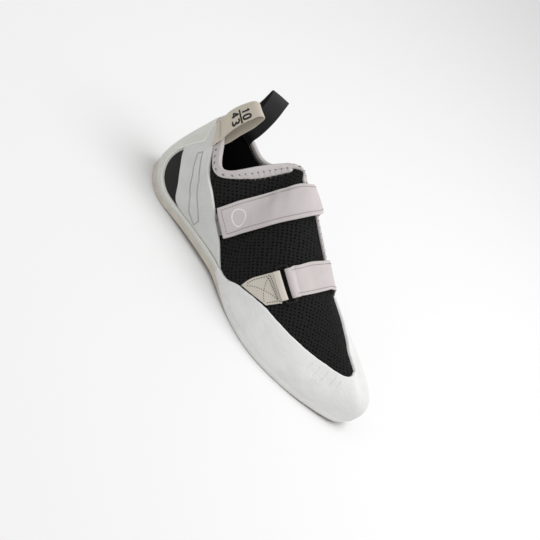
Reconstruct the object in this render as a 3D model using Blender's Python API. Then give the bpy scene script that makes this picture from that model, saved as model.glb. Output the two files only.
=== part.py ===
"""A low climbing shoe for the right foot, EU size 43.

Units are metres. The shoe stands on the ground at z = 0 with its toe towards +X
and its outer (lateral) side towards -Y.

The skin of the upper is a fan of ribs. A rib starts on the feather line, just
inside the edge of the sole, and rises to the top line, which is the collar at
the back and the crest of the vamp at the front. Every other piece of the upper
is laid on that skin. A place on it has two coordinates:
  q  runs once round the shoe, 0 at the heel, 1 at the toe, 0 to 1 along the
     lateral side and 1 to 2 back along the medial side
  t  runs up the rib, 0 at the feather line and 1 at the top line
For pieces that cross the vamp, u is the station along the shoe (0 to 1) and g
the girth: 0 to 1 up the lateral rib and 1 to 2 down the medial rib.
"""

import math

import bmesh
import bpy
import numpy as np

# Driving sizes
LENGTH = 0.268
BALL_WIDTH = 0.092
HEEL_HEIGHT = 0.0754
INSTEP_HEIGHT = 0.0964
ARCH_LIFT = 0.003
TOE_SPRING = 0.006

# Thicknesses and clearances
GAP = 0.0003
SEAT = 0.00045
WALL = 0.002
RAND = 0.002
SOLE = 0.0054
SOLE_BEVEL = 0.0010
INSOLE = 0.0025
INSOLE_CLEARANCE = 0.0013
BINDING = 0.0010
BINDING_LEG = 0.0060
BINDING_LEG_HEEL = 0.0042
BINDING_LEG_THROAT = 0.0045
THROAT_OPENING = 0.0070
STRAP = 0.0014
TAB = 0.0012
PILE = 0.0010
TONGUE = 0.0016
TONGUE_CLEARANCE = 0.0011
LOOP = 0.0010
RING_WIRE = 0.0018
RING_WINDOW = 0.0072
RING_OVERHANG = 0.0026
HOOK_RETURN = 0.0055
TAB_RETURN = 0.0036
LOOP_HEIGHT = 0.037
LOOP_HEIGHT_MEDIAL = 0.0445
LOOP_LEAN = 1.0
LOOP_LEAN_MEDIAL = -0.1

# Stations along the shoe
COLLAR_END = 0.42
THROAT_START = 0.40
THROAT_END = 0.62
THROAT_SPLIT = 0.87
HEEL_FLAT_END = 0.23
FOREFOOT_FLAT_START = 0.57
FOREFOOT_FLAT_END = 0.69

# Plan of the sole. Columns: station, lateral and medial share of BALL_WIDTH
OUTLINE = [
    (0.00, 0.000, 0.000),
    (0.10, -0.136, 0.147),
    (0.20, -0.315, 0.293),
    (0.25, -0.359, 0.332),
    (0.30, -0.342, 0.337),
    (0.40, -0.326, 0.315),
    (0.45, -0.332, 0.321),
    (0.50, -0.397, 0.359),
    (0.55, -0.451, 0.418),
    (0.60, -0.467, 0.478),
    (0.65, -0.429, 0.511),
    (0.70, -0.342, 0.527),
    (0.75, -0.239, 0.527),
    (0.80, -0.125, 0.505),
    (0.90, 0.071, 0.391),
    (1.00, 0.223, 0.223),
]

# Collar, lateral side. Columns: station, share of LENGTH, share of BALL_WIDTH,
# share of HEEL_HEIGHT, share of INSTEP_HEIGHT
COLLAR_LATERAL = [
    (0.00, 0.043, 0.005, 1.000, 0.000),
    (0.07, 0.050, -0.060, 1.000, 0.000),
    (0.13, 0.071, -0.114, 0.986, 0.000),
    (0.18, 0.097, -0.152, 0.953, 0.000),
    (0.23, 0.127, -0.190, 0.885, 0.000),
    (0.28, 0.159, -0.239, 0.811, 0.000),
    (0.32, 0.188, -0.272, 0.791, 0.000),
    (0.36, 0.220, -0.234, 0.500, 0.289),
    (0.39, 0.246, -0.087, 0.200, 0.676),
    (0.42, 0.285, 0.152, 0.000, 1.000),
]

# Collar, medial side, same columns
COLLAR_MEDIAL = [
    (0.07, 0.050, 0.071, 1.000, 0.000),
    (0.13, 0.071, 0.141, 1.000, 0.000),
    (0.18, 0.101, 0.217, 0.986, 0.000),
    (0.23, 0.138, 0.283, 0.939, 0.000),
    (0.28, 0.175, 0.310, 0.905, 0.000),
    (0.32, 0.209, 0.310, 0.932, 0.000),
    (0.36, 0.239, 0.299, 0.500, 0.421),
    (0.39, 0.261, 0.266, 0.200, 0.755),
]

# Crest of the vamp from collar to toe, same columns
CREST = [
    (0.46, 0.343, 0.158, 0.000, 1.000),
    (0.50, 0.396, 0.147, 0.000, 0.958),
    (0.55, 0.470, 0.141, 0.000, 0.874),
    (0.60, 0.545, 0.141, 0.000, 0.758),
    (0.65, 0.616, 0.141, 0.000, 0.658),
    (0.70, 0.683, 0.147, 0.000, 0.579),
    (0.75, 0.743, 0.152, 0.000, 0.521),
    (0.80, 0.795, 0.158, 0.000, 0.474),
    (0.85, 0.840, 0.163, 0.000, 0.437),
    (0.90, 0.871, 0.166, 0.000, 0.411),
    (0.95, 0.892, 0.168, 0.000, 0.395),
    (1.00, 0.899, 0.168, 0.000, 0.389),
]

# How each rib bends. Low handle: out (share of BALL_WIDTH) and up (share of
# HEEL_HEIGHT). High handle: out and down, in the same shares.
# Columns: station, then low out, low up, high out, high down for the lateral
# side, and the same four for the medial side
RIBS = [
    (0.00, 0.050, 0.243, 0.043, 0.297, 0.050, 0.243, 0.043, 0.297),
    (0.10, 0.056, 0.243, 0.040, 0.297, 0.056, 0.243, 0.040, 0.297),
    (0.20, 0.060, 0.243, 0.043, 0.297, 0.060, 0.243, 0.033, 0.297),
    (0.30, 0.043, 0.243, 0.043, 0.270, 0.033, 0.270, 0.033, 0.297),
    (0.40, 0.033, 0.297, 0.152, 0.162, 0.000, 0.351, 0.098, 0.189),
    (0.50, 0.033, 0.270, 0.250, 0.000, 0.011, 0.351, 0.185, 0.000),
    (0.60, 0.027, 0.230, 0.293, 0.000, 0.022, 0.297, 0.239, 0.000),
    (0.70, 0.022, 0.203, 0.272, 0.000, 0.022, 0.257, 0.261, 0.000),
    (0.80, 0.022, 0.189, 0.217, 0.000, 0.030, 0.255, 0.275, 0.000),
    (0.90, 0.033, 0.180, 0.212, 0.000, 0.055, 0.245, 0.285, 0.000),
    (1.00, 0.045, 0.195, 0.240, 0.000, 0.045, 0.195, 0.240, 0.000),
]

# Upper edge of the toe rand. Columns: station, height up the rib
TOE_RAND_LATERAL = [
    (0.458, 0.055),
    (0.476, 0.085),
    (0.494, 0.130),
    (0.514, 0.190),
    (0.534, 0.230),
    (0.562, 0.280),
    (0.590, 0.323),
    (0.619, 0.360),
    (0.647, 0.390),
    (0.706, 0.440),
    (0.768, 0.510),
    (0.805, 0.560),
    (0.841, 0.623),
    (0.868, 0.703),
    (0.895, 0.803),
    (0.920, 0.927),
    (0.940, 1.000),
]
TOE_RAND_MEDIAL = [
    (0.458, 0.055),
    (0.500, 0.240),
    (0.550, 0.400),
    (0.600, 0.530),
    (0.650, 0.640),
    (0.700, 0.740),
    (0.750, 0.840),
    (0.782, 0.903),
    (0.815, 0.965),
    (0.850, 0.995),
    (0.940, 1.000),
]

# Upper edge of the heel cup, from the heel forwards along the arch. Columns:
# station, height up the rib
HEEL_CUP_EDGE = [
    (0.0000, 0.920),
    (0.1040, 0.920),
    (0.1385, 0.835),
    (0.1495, 0.360),
    (0.1667, 0.235),
    (0.1940, 0.168),
    (0.2220, 0.125),
    (0.2500, 0.103),
    (0.3000, 0.080),
    (0.3600, 0.063),
    (0.4400, 0.052),
    (0.4535, 0.052),
]

# Lower and upper edge of the slingshot band. Columns: station, height up the rib
SLINGSHOT_LOW = [
    (0.1040, 0.926),
    (0.1385, 0.842),
    (0.1495, 0.500),
    (0.2000, 0.450),
    (0.2290, 0.400),
    (0.2530, 0.330),
    (0.2700, 0.210),
    (0.2850, 0.100),
    (0.3060, 0.085),
    (0.3600, 0.070),
    (0.4400, 0.059),
    (0.4535, 0.058),
]
SLINGSHOT_HIGH = [
    (0.1040, 0.929),
    (0.1385, 0.924),
    (0.1667, 0.916),
    (0.2220, 0.903),
    (0.2700, 0.878),
    (0.3060, 0.837),
    (0.3310, 0.775),
    (0.3460, 0.690),
    (0.3560, 0.600),
    (0.3660, 0.496),
    (0.3770, 0.400),
    (0.3850, 0.330),
    (0.4030, 0.240),
    (0.4210, 0.173),
    (0.4410, 0.100),
    (0.4535, 0.062),
]

# Straps and tab. Columns: station and girth of the rear edge, station and girth
# of the front edge, height of the middle of the webbing above the skin in
# multiples of its own thickness
UPPER_STRAP = [
    (0.376, 0.447, 0.418, 0.222, 1.90),
    (0.388, 0.500, 0.434, 0.300, 1.85),
    (0.399, 0.547, 0.449, 0.372, 1.65),
    (0.422, 0.620, 0.482, 0.513, 1.40),
    (0.452, 0.747, 0.510, 0.657, 1.50),
    (0.467, 0.887, 0.528, 0.787, 2.20),
    (0.473, 1.000, 0.536, 0.920, 3.60),
    (0.472, 1.120, 0.534, 1.060, 4.20),
    (0.466, 1.280, 0.526, 1.220, 3.20),
    (0.458, 1.450, 0.517, 1.400, 1.90),
    (0.450, 1.600, 0.508, 1.550, 1.10),
    (0.446, 1.700, 0.503, 1.660, 0.90),
]
LOWER_STRAP = [
    (0.5830, 0.640, 0.6330, 0.640, 1.85),
    (0.5900, 0.690, 0.6400, 0.690, 1.75),
    (0.5970, 0.760, 0.6500, 0.770, 1.25),
    (0.6050, 0.850, 0.6620, 0.880, 1.80),
    (0.6130, 0.950, 0.6720, 0.990, 3.20),
    (0.6165, 1.060, 0.6760, 1.080, 3.60),
    (0.6140, 1.180, 0.6720, 1.180, 2.20),
    (0.6090, 1.320, 0.6660, 1.270, 1.20),
    (0.6060, 1.420, 0.6630, 1.330, 0.90),
]
STRAP_TAB = [
    (0.5185, 0.206, 0.5890, 0.334, 0.90),
    (0.5270, 0.293, 0.5960, 0.372, 0.90),
    (0.5410, 0.373, 0.6040, 0.415, 0.90),
    (0.5550, 0.450, 0.6120, 0.462, 0.90),
]
PILE_PATCH = [
    (0.3800, 0.377, 0.4080, 0.226, 1.00),
    (0.3960, 0.440, 0.4260, 0.300, 1.00),
    (0.4060, 0.480, 0.4400, 0.360, 1.00),
]

# The ring between tab and lower strap. Rear and front station of the webbing
# and girth of the window's middle
RING_REAR = 0.5750
RING_FRONT = 0.6260
RING_GIRTH = 0.5480
RING_PARTS = (-0.05, 0.333, 0.667, 1.05)

# The tongue under the throat. Columns: girth, rear station, front station
TONGUE_ROWS = [
    (0.860, 0.446, 0.640),
    (0.930, 0.444, 0.648),
    (1.000, 0.443, 0.652),
    (1.080, 0.442, 0.652),
    (1.160, 0.440, 0.650),
    (1.240, 0.438, 0.644),
    (1.320, 0.437, 0.636),
]

# Pull loops, as a path from the outer foot over the fold to the inner foot.
# Columns: share of LOOP_HEIGHT above the collar, offset outwards from the
# collar wall as share of WALL, lean forwards as share of LOOP_HEIGHT, how far
# the webbing has turned level
PULL_LOOP = [
    (-0.22, 2.00, 0.00, 0.0),
    (-0.10, 2.00, 0.00, 0.0),
    (0.06, 1.90, 0.00, 0.0),
    (0.36, 2.75, 0.04, 0.4),
    (0.66, 2.75, 0.10, 0.8),
    (0.88, 2.10, 0.15, 1.0),
    (0.98, 1.10, 0.17, 1.0),
    (1.00, -0.20, 0.18, 1.0),
    (0.96, -1.50, 0.17, 1.0),
    (0.84, -2.50, 0.14, 1.0),
    (0.62, -3.20, 0.10, 0.8),
    (0.34, -3.00, 0.04, 0.4),
    (0.06, -2.60, 0.00, 0.0),
    (-0.10, -2.45, 0.00, 0.0),
    (-0.20, -2.45, 0.00, 0.0),
]
LOOP_REAR = 0.115
LOOP_FRONT = 0.212

# Faces that close an end of the binding, by places in its cross-section
BINDING_CAP = [
    (0, 1, 2, 11),
    (2, 3, 11),
    (3, 4, 11),
    (4, 5, 10, 11),
    (5, 6, 10),
    (6, 7, 10),
    (7, 8, 9, 10),
]

# Mesh steps
COLUMNS = 36
ROWS = 10
CORNERS = (0.104, 0.1385, 0.1495)
THROAT_STEPS = (0.4265, 0.4350, 0.4580)
STEEP = (0.1412, 0.1440, 0.1467, 0.2580, 0.2640, 0.2740, 0.2815)
ROW_SNAP = 0.020
TOP_STEP = 0.012
SIDE_STEP = 0.001


def clamp01(value):
    """Limits a value to 0..1."""
    return np.clip(value, 0.0, 1.0)


def smooth(value):
    """Soft step from 0 to 1."""
    value = clamp01(value)
    return value * value * (3.0 - 2.0 * value)


def spline(knots, values):
    """Returns a function for the smooth curve through rows of values."""
    count = len(knots)
    step = np.diff(knots)
    system = np.zeros((count, count))
    right = np.zeros((count, values.shape[1]))
    system[0, 0] = 1.0
    system[-1, -1] = 1.0
    slope = np.diff(values, axis=0) / step[:, None]
    for i in range(1, count - 1):
        system[i, i - 1] = step[i - 1]
        system[i, i] = 2.0 * (step[i - 1] + step[i])
        system[i, i + 1] = step[i]
        right[i] = 6.0 * (slope[i] - slope[i - 1])
    bend = np.linalg.solve(system, right)

    def value_at(at):
        at = np.asarray(at, float)
        i = np.clip(np.searchsorted(knots, at, side="right") - 1, 0, count - 2)
        width = step[i][..., None]
        left = (at - knots[i])[..., None]
        rest = width - left
        cubic = (bend[i] * rest**3 + bend[i + 1] * left**3) / (6.0 * width)
        from_left = (values[i] / width - bend[i] * width / 6.0) * rest
        from_right = (values[i + 1] / width - bend[i + 1] * width / 6.0) * left
        return cubic + from_left + from_right

    return value_at


def round_trip(lateral, medial):
    """Spline over q from rows of (station, values) for the two sides."""
    rows = [(row[0], row[1:]) for row in lateral]
    rows += [(2.0 - row[0], row[1:]) for row in reversed(medial) if 0.0 < row[0] < 1.0]
    overlap = 5
    before = [(q - 2.0, value) for q, value in rows[-overlap:]]
    after = [(q + 2.0, value) for q, value in rows[:overlap]]
    rows = before + rows + after
    return spline(np.array([row[0] for row in rows]), np.array([row[1] for row in rows]))


outline_at = round_trip(
    [(u, lateral) for u, lateral, medial in OUTLINE],
    [(u, medial) for u, lateral, medial in OUTLINE],
)
top_at = round_trip(COLLAR_LATERAL + CREST, COLLAR_MEDIAL + COLLAR_LATERAL[-1:] + CREST)
ribs_at = round_trip([row[:5] for row in RIBS], [row[:1] + row[5:] for row in RIBS])


def station(q):
    """Station along the shoe of a place q round it."""
    q = np.mod(np.asarray(q, float), 2.0)
    return np.where(q <= 1.0, q, 2.0 - q)


def ground(u):
    """Height of the sole's underside: flat at heel and forefoot."""
    rise = smooth((u - HEEL_FLAT_END) / (0.40 - HEEL_FLAT_END))
    fall = smooth((FOREFOOT_FLAT_START - u) / (FOREFOOT_FLAT_START - 0.42))
    spring = clamp01((u - FOREFOOT_FLAT_END) / (1.0 - FOREFOOT_FLAT_END))
    return ARCH_LIFT * rise * fall + TOE_SPRING * spring**1.6


def sole_edge(q):
    """The lower edge of the sole's side."""
    u = station(q)
    along = LENGTH * (1.0 - np.cos(np.pi * u)) / 2.0
    across = outline_at(np.mod(q, 2.0))[..., 0] * BALL_WIDTH
    return np.stack([along, across, ground(u)], -1)


def outward(q):
    """Level unit vector out of the sole's outline."""
    q = np.asarray(q, float)
    run = (sole_edge(q + SIDE_STEP) - sole_edge(q - SIDE_STEP))[..., :2]
    run /= np.linalg.norm(run, axis=-1, keepdims=True)
    return np.stack([run[..., 1], -run[..., 0], np.zeros_like(q)], -1)


def inset_edge(q, inset, height):
    """The sole's outline moved in, at a height above its underside."""
    q = np.asarray(q, float)
    return sole_edge(q) - outward(q) * inset + np.array([0.0, 0.0, height])


def top_line(q):
    """Collar at the back, crest of the vamp in front."""
    u = station(q)
    q = np.where(u >= COLLAR_END, u, np.mod(q, 2.0))
    share = top_at(q)
    height = share[..., 2] * HEEL_HEIGHT + share[..., 3] * INSTEP_HEIGHT
    return np.stack([share[..., 0] * LENGTH, share[..., 1] * BALL_WIDTH, height], -1)


def crest_run(q):
    """Level direction of the crest and its slope."""
    u = np.clip(station(q), COLLAR_END + 0.005, 0.985)
    run = top_line(u + SIDE_STEP) - top_line(u - SIDE_STEP)
    level = np.linalg.norm(run[..., :2], axis=-1, keepdims=True)
    return run[..., :2] / level, run[..., 2] / level[..., 0]


def skin(q, t, lift=0.0):
    """A point on the upper's outer skin, lifted off along its normal."""
    q, t, lift = np.broadcast_arrays(
        np.asarray(q, float), np.asarray(t, float), np.asarray(lift, float)
    )
    base = rib_point(q, t)
    return base + skin_normal(q, t) * lift[..., None]


def rib_point(q, t):
    """A point on the rib at q, t of the way up."""
    foot = inset_edge(q, RAND + 2.0 * GAP, SOLE + GAP)
    top = top_line(q)
    out = outward(q)
    shape = ribs_at(np.mod(q, 2.0))
    low = foot + out * shape[..., 0:1] * BALL_WIDTH
    low[..., 2] += shape[..., 1] * HEEL_HEIGHT
    reach = shape[..., 2] * BALL_WIDTH
    along, slope = crest_run(q)
    on_crest = smooth((station(q) - COLLAR_END) / 0.06)
    climb = (out[..., :2] * along).sum(-1) * slope * reach * on_crest
    high = top + out * reach[..., None]
    high[..., 2] += climb - (1.0 - on_crest) * shape[..., 3] * HEEL_HEIGHT
    t = t[..., None]
    s = 1.0 - t
    return s**3 * foot + 3.0 * s * s * t * low + 3.0 * s * t * t * high + t**3 * top


def skin_normal(q, t):
    """Unit normal of the skin, level at the feather line."""
    inner = np.clip(t, SIDE_STEP, 1.0 - TOP_STEP)
    round_it = rib_point(q + SIDE_STEP, inner) - rib_point(q - SIDE_STEP, inner)
    up_it = rib_point(q, inner + SIDE_STEP) - rib_point(q, inner - SIDE_STEP)
    normal = np.cross(round_it, up_it)
    normal[..., 2] *= smooth(t / 0.08)
    return normal / np.linalg.norm(normal, axis=-1, keepdims=True)


def rib_length(q):
    """Length of skin in one whole step of t, measured near the top."""
    q = np.asarray(q, float)
    near = 0.05
    run = rib_point(q, np.full_like(q, 1.0)) - rib_point(q, np.full_like(q, 1.0 - near))
    return np.linalg.norm(run, axis=-1) / near


def girth_place(u, g):
    """Turns station and girth into q and t."""
    u, g = np.broadcast_arrays(np.asarray(u, float), np.asarray(g, float))
    return np.where(g <= 1.0, u, 2.0 - u), np.where(g <= 1.0, g, 2.0 - g)


def material(name, colour, roughness):
    """A plain Principled material."""
    made = bpy.data.materials.new(name)
    made.use_nodes = True
    shader = made.node_tree.nodes["Principled BSDF"]
    shader.inputs["Base Color"].default_value = (*colour, 1.0)
    shader.inputs["Roughness"].default_value = roughness
    made.diffuse_color = (*colour, 1.0)
    return made


def finish_body(name, body, surface, collection):
    """Makes an object of a bmesh."""
    bmesh.ops.recalc_face_normals(body, faces=body.faces)
    mesh = bpy.data.meshes.new(name)
    body.to_mesh(mesh)
    body.free()
    mesh.materials.append(surface)
    mesh.shade_smooth()
    mesh.set_sharp_from_angle(angle=math.radians(40.0))
    made = bpy.data.objects.new(name, mesh)
    collection.objects.link(made)
    return made


def thicken(name, outer, inner, keys, surface, collection, cells=None):
    """Closes the space between two grids of points.

    keys gives the identity of each grid point, so that points with the same
    key become one vertex. cells, where given, says which cells exist.
    """
    body = bmesh.new()
    outside = {}
    inside = {}
    rows, columns = keys.shape
    for i in range(rows):
        for j in range(columns):
            key = keys[i, j]
            if key not in outside:
                outside[key] = body.verts.new(outer[i, j])
                inside[key] = body.verts.new(inner[i, j])
    sides = {}
    for i in range(rows - 1):
        for j in range(columns - 1):
            if cells is not None and not cells[i, j]:
                continue
            ring = [keys[i, j], keys[i, j + 1], keys[i + 1, j + 1], keys[i + 1, j]]
            ring = [key for k, key in enumerate(ring) if key != ring[k - 1]]
            if len(ring) < 3:
                continue
            body.faces.new([outside[key] for key in ring])
            body.faces.new([inside[key] for key in reversed(ring)])
            for k, key in enumerate(ring):
                edge = (ring[k - 1], key)
                if (key, ring[k - 1]) in sides:
                    del sides[(key, ring[k - 1])]
                else:
                    sides[edge] = True
    for start, end in sides:
        body.faces.new([outside[end], outside[start], inside[start], inside[end]])
    used = [vertex for vertex in body.verts if not vertex.link_faces]
    bmesh.ops.delete(body, geom=used, context="VERTS")
    return finish_body(name, body, surface, collection)


def grid_keys(rows, columns):
    """A key of its own for each point of a grid."""
    return np.arange(rows * columns).reshape(rows, columns)


def place_keys(q, t):
    """Keys by place on the skin: both sides share the crest."""
    u = station(q)
    on_crest = (t > 1.0 - 1e-9) & (u > COLLAR_END - 1e-9)
    q = np.where(on_crest, u, np.mod(q, 2.0))
    code = np.round(q * 1e6) * 1e8 + np.round(t * 1e6)
    return code.astype(np.int64)


def shell(name, q, t, low, high, surface, collection, cells=None):
    """A solid between two heights above the skin."""
    keys = place_keys(q, t)
    return thicken(name, skin(q, t, high), skin(q, t, low), keys, surface, collection, cells)


def band(name, middle, thickness, surface, collection):
    """Webbing: a grid of middle points, given half its thickness each way."""
    step = np.diff(middle, axis=0)
    step /= np.linalg.norm(step, axis=-1, keepdims=True)
    along = np.concatenate([step[:1], step[1:] + step[:-1], step[-1:]])
    across = np.gradient(middle, axis=1)
    normal = np.cross(along, across)
    normal /= np.linalg.norm(normal, axis=-1, keepdims=True)
    half = normal * thickness / 2.0
    keys = grid_keys(*middle.shape[:2])
    return thicken(name, middle + half, middle - half, keys, surface, collection)


def sweep(name, rings, caps, surface, collection):
    """Joins cross-sections of equal length into a closed body.

    caps lists the faces of an end by places in the ring. Without them the last
    section joins the first.
    """
    body = bmesh.new()
    verts = [[body.verts.new(point) for point in ring] for ring in rings]
    count = len(verts)
    size = len(verts[0])
    for i in range(count - 1 if caps else count):
        here = verts[i]
        there = verts[(i + 1) % count]
        for k in range(size):
            body.faces.new([here[k - 1], here[k], there[k], there[k - 1]])
    for ring in (verts[0], verts[-1]):
        for face in caps:
            body.faces.new([ring[k] for k in face])
    return finish_body(name, body, surface, collection)


def slab(name, levels, surface, collection):
    """A flat piece from level outlines, capped by strips across the shoe."""
    body = bmesh.new()
    rings = [[body.verts.new(point) for point in level] for level in levels]
    size = len(rings[0])
    half = size // 2
    for lower, upper in zip(rings, rings[1:]):
        for k in range(size):
            body.faces.new([lower[k - 1], lower[k], upper[k], upper[k - 1]])
    for ring in (rings[0], rings[-1]):
        for k in range(half):
            strip = [ring[k], ring[k + 1], ring[(size - k - 1) % size], ring[-k % size]]
            strip = [v for i, v in enumerate(strip) if v is not strip[i - 1]]
            body.faces.new(strip)
    return finish_body(name, body, surface, collection)


def stations():
    """The upper's columns along one side, closer at collar and throat."""
    even = list(np.linspace(0.0, 1.0, COLUMNS + 1))
    fixed = [*CORNERS, THROAT_START, COLLAR_END, *THROAT_STEPS, THROAT_END]
    near = 0.4 / COLUMNS
    even = [u for u in even if min(abs(u - f) for f in fixed) > near]
    return np.array(sorted(even + fixed))


def throat_half_width(u):
    """Half the throat's opening as height up the rib, straight between stations."""
    knots = stations()
    opening = smooth((knots - THROAT_START) / (COLLAR_END - THROAT_START))
    closing = clamp01((THROAT_END - knots) / (THROAT_END - COLLAR_END))
    width = THROAT_OPENING * opening * closing**0.35
    return float(np.interp(u, knots, width / 2.0 / rib_length(2.0 - knots)))


def upper_rows(q):
    """Heights of the upper's rows at q, parted at the throat."""
    half = throat_half_width(float(station(q))) if q > 1.0 else 0.0
    below = np.linspace(0.0, THROAT_SPLIT - half, ROWS + 1)
    return np.concatenate([below, np.linspace(THROAT_SPLIT + half, 1.0, 3)])


def make_upper(surface, collection):
    """The hollow upper, open at collar, throat and underneath."""
    u = stations()
    q = np.concatenate([u, 2.0 - u[-2::-1]])
    t = np.array([upper_rows(place) for place in q])
    q = np.repeat(q[:, None], t.shape[1], axis=1)
    cells = np.ones((q.shape[0] - 1, t.shape[1] - 1), bool)
    for i in range(q.shape[0] - 1):
        middle = (q[i, 0] + q[i + 1, 0]) / 2.0
        inside = 2.0 - THROAT_END < middle < 2.0 - THROAT_START
        if inside:
            cells[i, ROWS] = False
        if 2.0 - COLLAR_END < middle < 2.0 - THROAT_START:
            cells[i, ROWS + 1 :] = False
    return shell("upper", q, t, -WALL, 0.0, surface, collection, cells)


def make_outsole(surface, collection):
    """The outsole with its arch, toe spring and bevelled lower edge."""
    u = stations()
    q = np.concatenate([u, 2.0 - u[-2:0:-1]])
    levels = [
        inset_edge(q, SOLE_BEVEL, 0.0),
        inset_edge(q, 0.0, SOLE_BEVEL),
        inset_edge(q, 0.0, SOLE - GAP),
        inset_edge(q, GAP, SOLE),
    ]
    return slab("outsole", levels, surface, collection)


def make_insole(surface, collection):
    """The insole board inside the upper."""
    u = stations()[1:-1:2]
    q = np.concatenate([[0.0], u, [1.0], 2.0 - u[::-1]])
    inset = RAND + 2.0 * GAP + WALL + INSOLE_CLEARANCE
    levels = [
        inset_edge(q, inset, SOLE + GAP),
        inset_edge(q, inset, SOLE + GAP + INSOLE),
    ]
    return slab("insole", levels, surface, collection)


def make_tongue(surface, collection):
    """The tongue that closes the throat from inside."""
    rows = np.array(TONGUE_ROWS)
    part = np.linspace(0.0, 1.0, 9)
    u = rows[:, 1:2] + (rows[:, 2:3] - rows[:, 1:2]) * part
    g = np.repeat(rows[:, 0:1], part.size, axis=1)
    q, t = girth_place(u, g)
    high = -WALL - GAP - BINDING - TONGUE_CLEARANCE
    outer = skin(q, t, high)
    inner = skin(q, t, high - TONGUE)
    return thicken("tongue", outer, inner, grid_keys(*q.shape), surface, collection)


def lay(name, q, low, high, surface, collection):
    """A rubber overlay between two edges, on the upper's own facets."""
    t = np.array([upper_rows(place) for place in q])
    for edge in (low, high):
        near = np.abs(t - edge[:, None]) < ROW_SNAP
        t = np.where(near, edge[:, None], t)
    t = np.clip(t, low[:, None], high[:, None])
    q = np.repeat(q[:, None], t.shape[1], axis=1)
    return shell(name, q, t, SEAT, SEAT + RAND, surface, collection)


def edge_at(table, u):
    """Height of an edge at stations u, straight between a table's rows."""
    rows = np.array(table)
    return np.interp(u, rows[:, 0], rows[:, 1])


def close_stations(first, last):
    """The upper's stations with more of them where an edge is steep."""
    u = np.array(sorted([*stations(), *STEEP]))
    return np.concatenate([u[(u > first - 1e-9) & (u < last - 1e-9)], [last]])


def make_toe_rand(surface, collection):
    """The rubber rand round toe and forefoot."""
    first = TOE_RAND_LATERAL[0][0]
    u = stations()
    u = np.concatenate([[first], u[u > first]])
    q = np.concatenate([u, 2.0 - u[-2::-1]])
    lateral = edge_at(TOE_RAND_LATERAL, u)
    medial = edge_at(TOE_RAND_MEDIAL, u)
    high = np.concatenate([lateral, medial[-2::-1]])
    return lay("toe_rand", q, np.zeros_like(q), high, surface, collection)


def make_heel_cup(surface, collection):
    """The rubber heel cup with its strips along the arch."""
    last = HEEL_CUP_EDGE[-1][0]
    u = close_stations(0.0, last)
    high = edge_at(HEEL_CUP_EDGE, u)
    q = np.concatenate([2.0 - u[:0:-1], u])
    high = np.concatenate([high[:0:-1], high])
    return lay("heel_cup", q, np.zeros_like(q), high, surface, collection)


def make_slingshot(name, medial, surface, collection):
    """The tensioned rubber band from heel top to arch, on one side."""
    u = close_stations(SLINGSHOT_LOW[0][0], SLINGSHOT_LOW[-1][0])
    q = 2.0 - u if medial else u
    low = edge_at(SLINGSHOT_LOW, u)
    high = edge_at(SLINGSHOT_HIGH, u)
    return lay(name, q, low, high, surface, collection)


def binding_ring(q, t, side, leg):
    """Cross-section of the tape round an edge of the upper.

    side is 1 where the wall lies below the edge and -1 where it lies above.
    """
    step = leg / float(rib_length(q))
    high = SEAT + BINDING
    outer_end = t - side * step
    half_way = t - side * step * 0.5
    inner_end = t - side * step * 0.8
    edge = rib_point(np.float64(q), np.float64(t))
    below = rib_point(np.float64(q), np.float64(t - side * 0.01))
    rise = (edge - below) / np.linalg.norm(edge - below)
    normal = skin_normal(np.float64(q), np.float64(t))
    inner = -WALL - SEAT

    def near(up, lift):
        return edge + rise * up + normal * lift

    return [
        skin(q, outer_end, SEAT),
        skin(q, outer_end, high),
        skin(q, half_way, high),
        near(0.0, high),
        near(high, SEAT),
        near(high, inner),
        near(0.0, inner - BINDING),
        skin(q, half_way, inner - BINDING),
        skin(q, inner_end, inner - BINDING),
        skin(q, inner_end, inner),
        near(SEAT, inner),
        near(SEAT, SEAT),
    ]


def make_collar_binding(surface, collection):
    """The tape round the collar, from throat round the heel to throat."""
    u = stations()
    lateral = u[u <= COLLAR_END + 1e-9]
    medial = u[(u > 1e-9) & (u <= THROAT_START + 1e-9)]
    rings = []
    for q in np.concatenate([2.0 - medial[::-1], lateral]):
        heel = 1.0 - smooth((float(station(q)) - 0.12) / 0.10)
        leg = BINDING_LEG + (BINDING_LEG_HEEL - BINDING_LEG) * heel
        rings.append(binding_ring(q, 1.0, 1.0, leg))
    return sweep("collar_binding", rings, BINDING_CAP, surface, collection)


def make_throat_binding(name, side, first, surface, collection):
    """The tape along one edge of the throat."""
    rings = []
    knots = stations()
    for u in knots[(knots > first) & (knots < THROAT_END - 0.05)]:
        t = THROAT_SPLIT - side * throat_half_width(u)
        leg = BINDING_LEG_THROAT if side > 0 else BINDING_LEG_THROAT * 0.6
        rings.append(binding_ring(2.0 - u, t, side, leg))
    return sweep(name, rings, BINDING_CAP, surface, collection)


def webbing_rows(table, thickness, across):
    """Middle points of webbing laid over the skin by a table."""
    rows = np.array(table)
    part = np.linspace(0.0, 1.0, across)
    u = rows[:, 0:1] + (rows[:, 2:3] - rows[:, 0:1]) * part
    g = rows[:, 1:2] + (rows[:, 3:4] - rows[:, 1:2]) * part
    lift = np.repeat(rows[:, 4:5] * thickness, across, axis=1)
    q, t = girth_place(u, g)
    return skin(q, t, lift)


def ring_frame(part):
    """Place, run of the strap and normal in the middle of the ring's window."""
    ends = skin(np.array([RING_REAR, RING_FRONT]), RING_GIRTH)
    across = (ends[1] - ends[0]) / np.linalg.norm(ends[1] - ends[0])
    q = RING_REAR + (RING_FRONT - RING_REAR) * np.asarray(part, float)
    normal = skin_normal(q, np.full_like(q, RING_GIRTH))
    normal = normal - (normal @ across)[..., None] * across
    normal /= np.linalg.norm(normal, axis=-1, keepdims=True)
    return skin(q, RING_GIRTH), np.cross(normal, across), normal


def bar_height(thickness):
    """Height of the ring's bars above the skin, over one layer of webbing."""
    return GAP + thickness + GAP + RING_WIRE / 2.0


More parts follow.
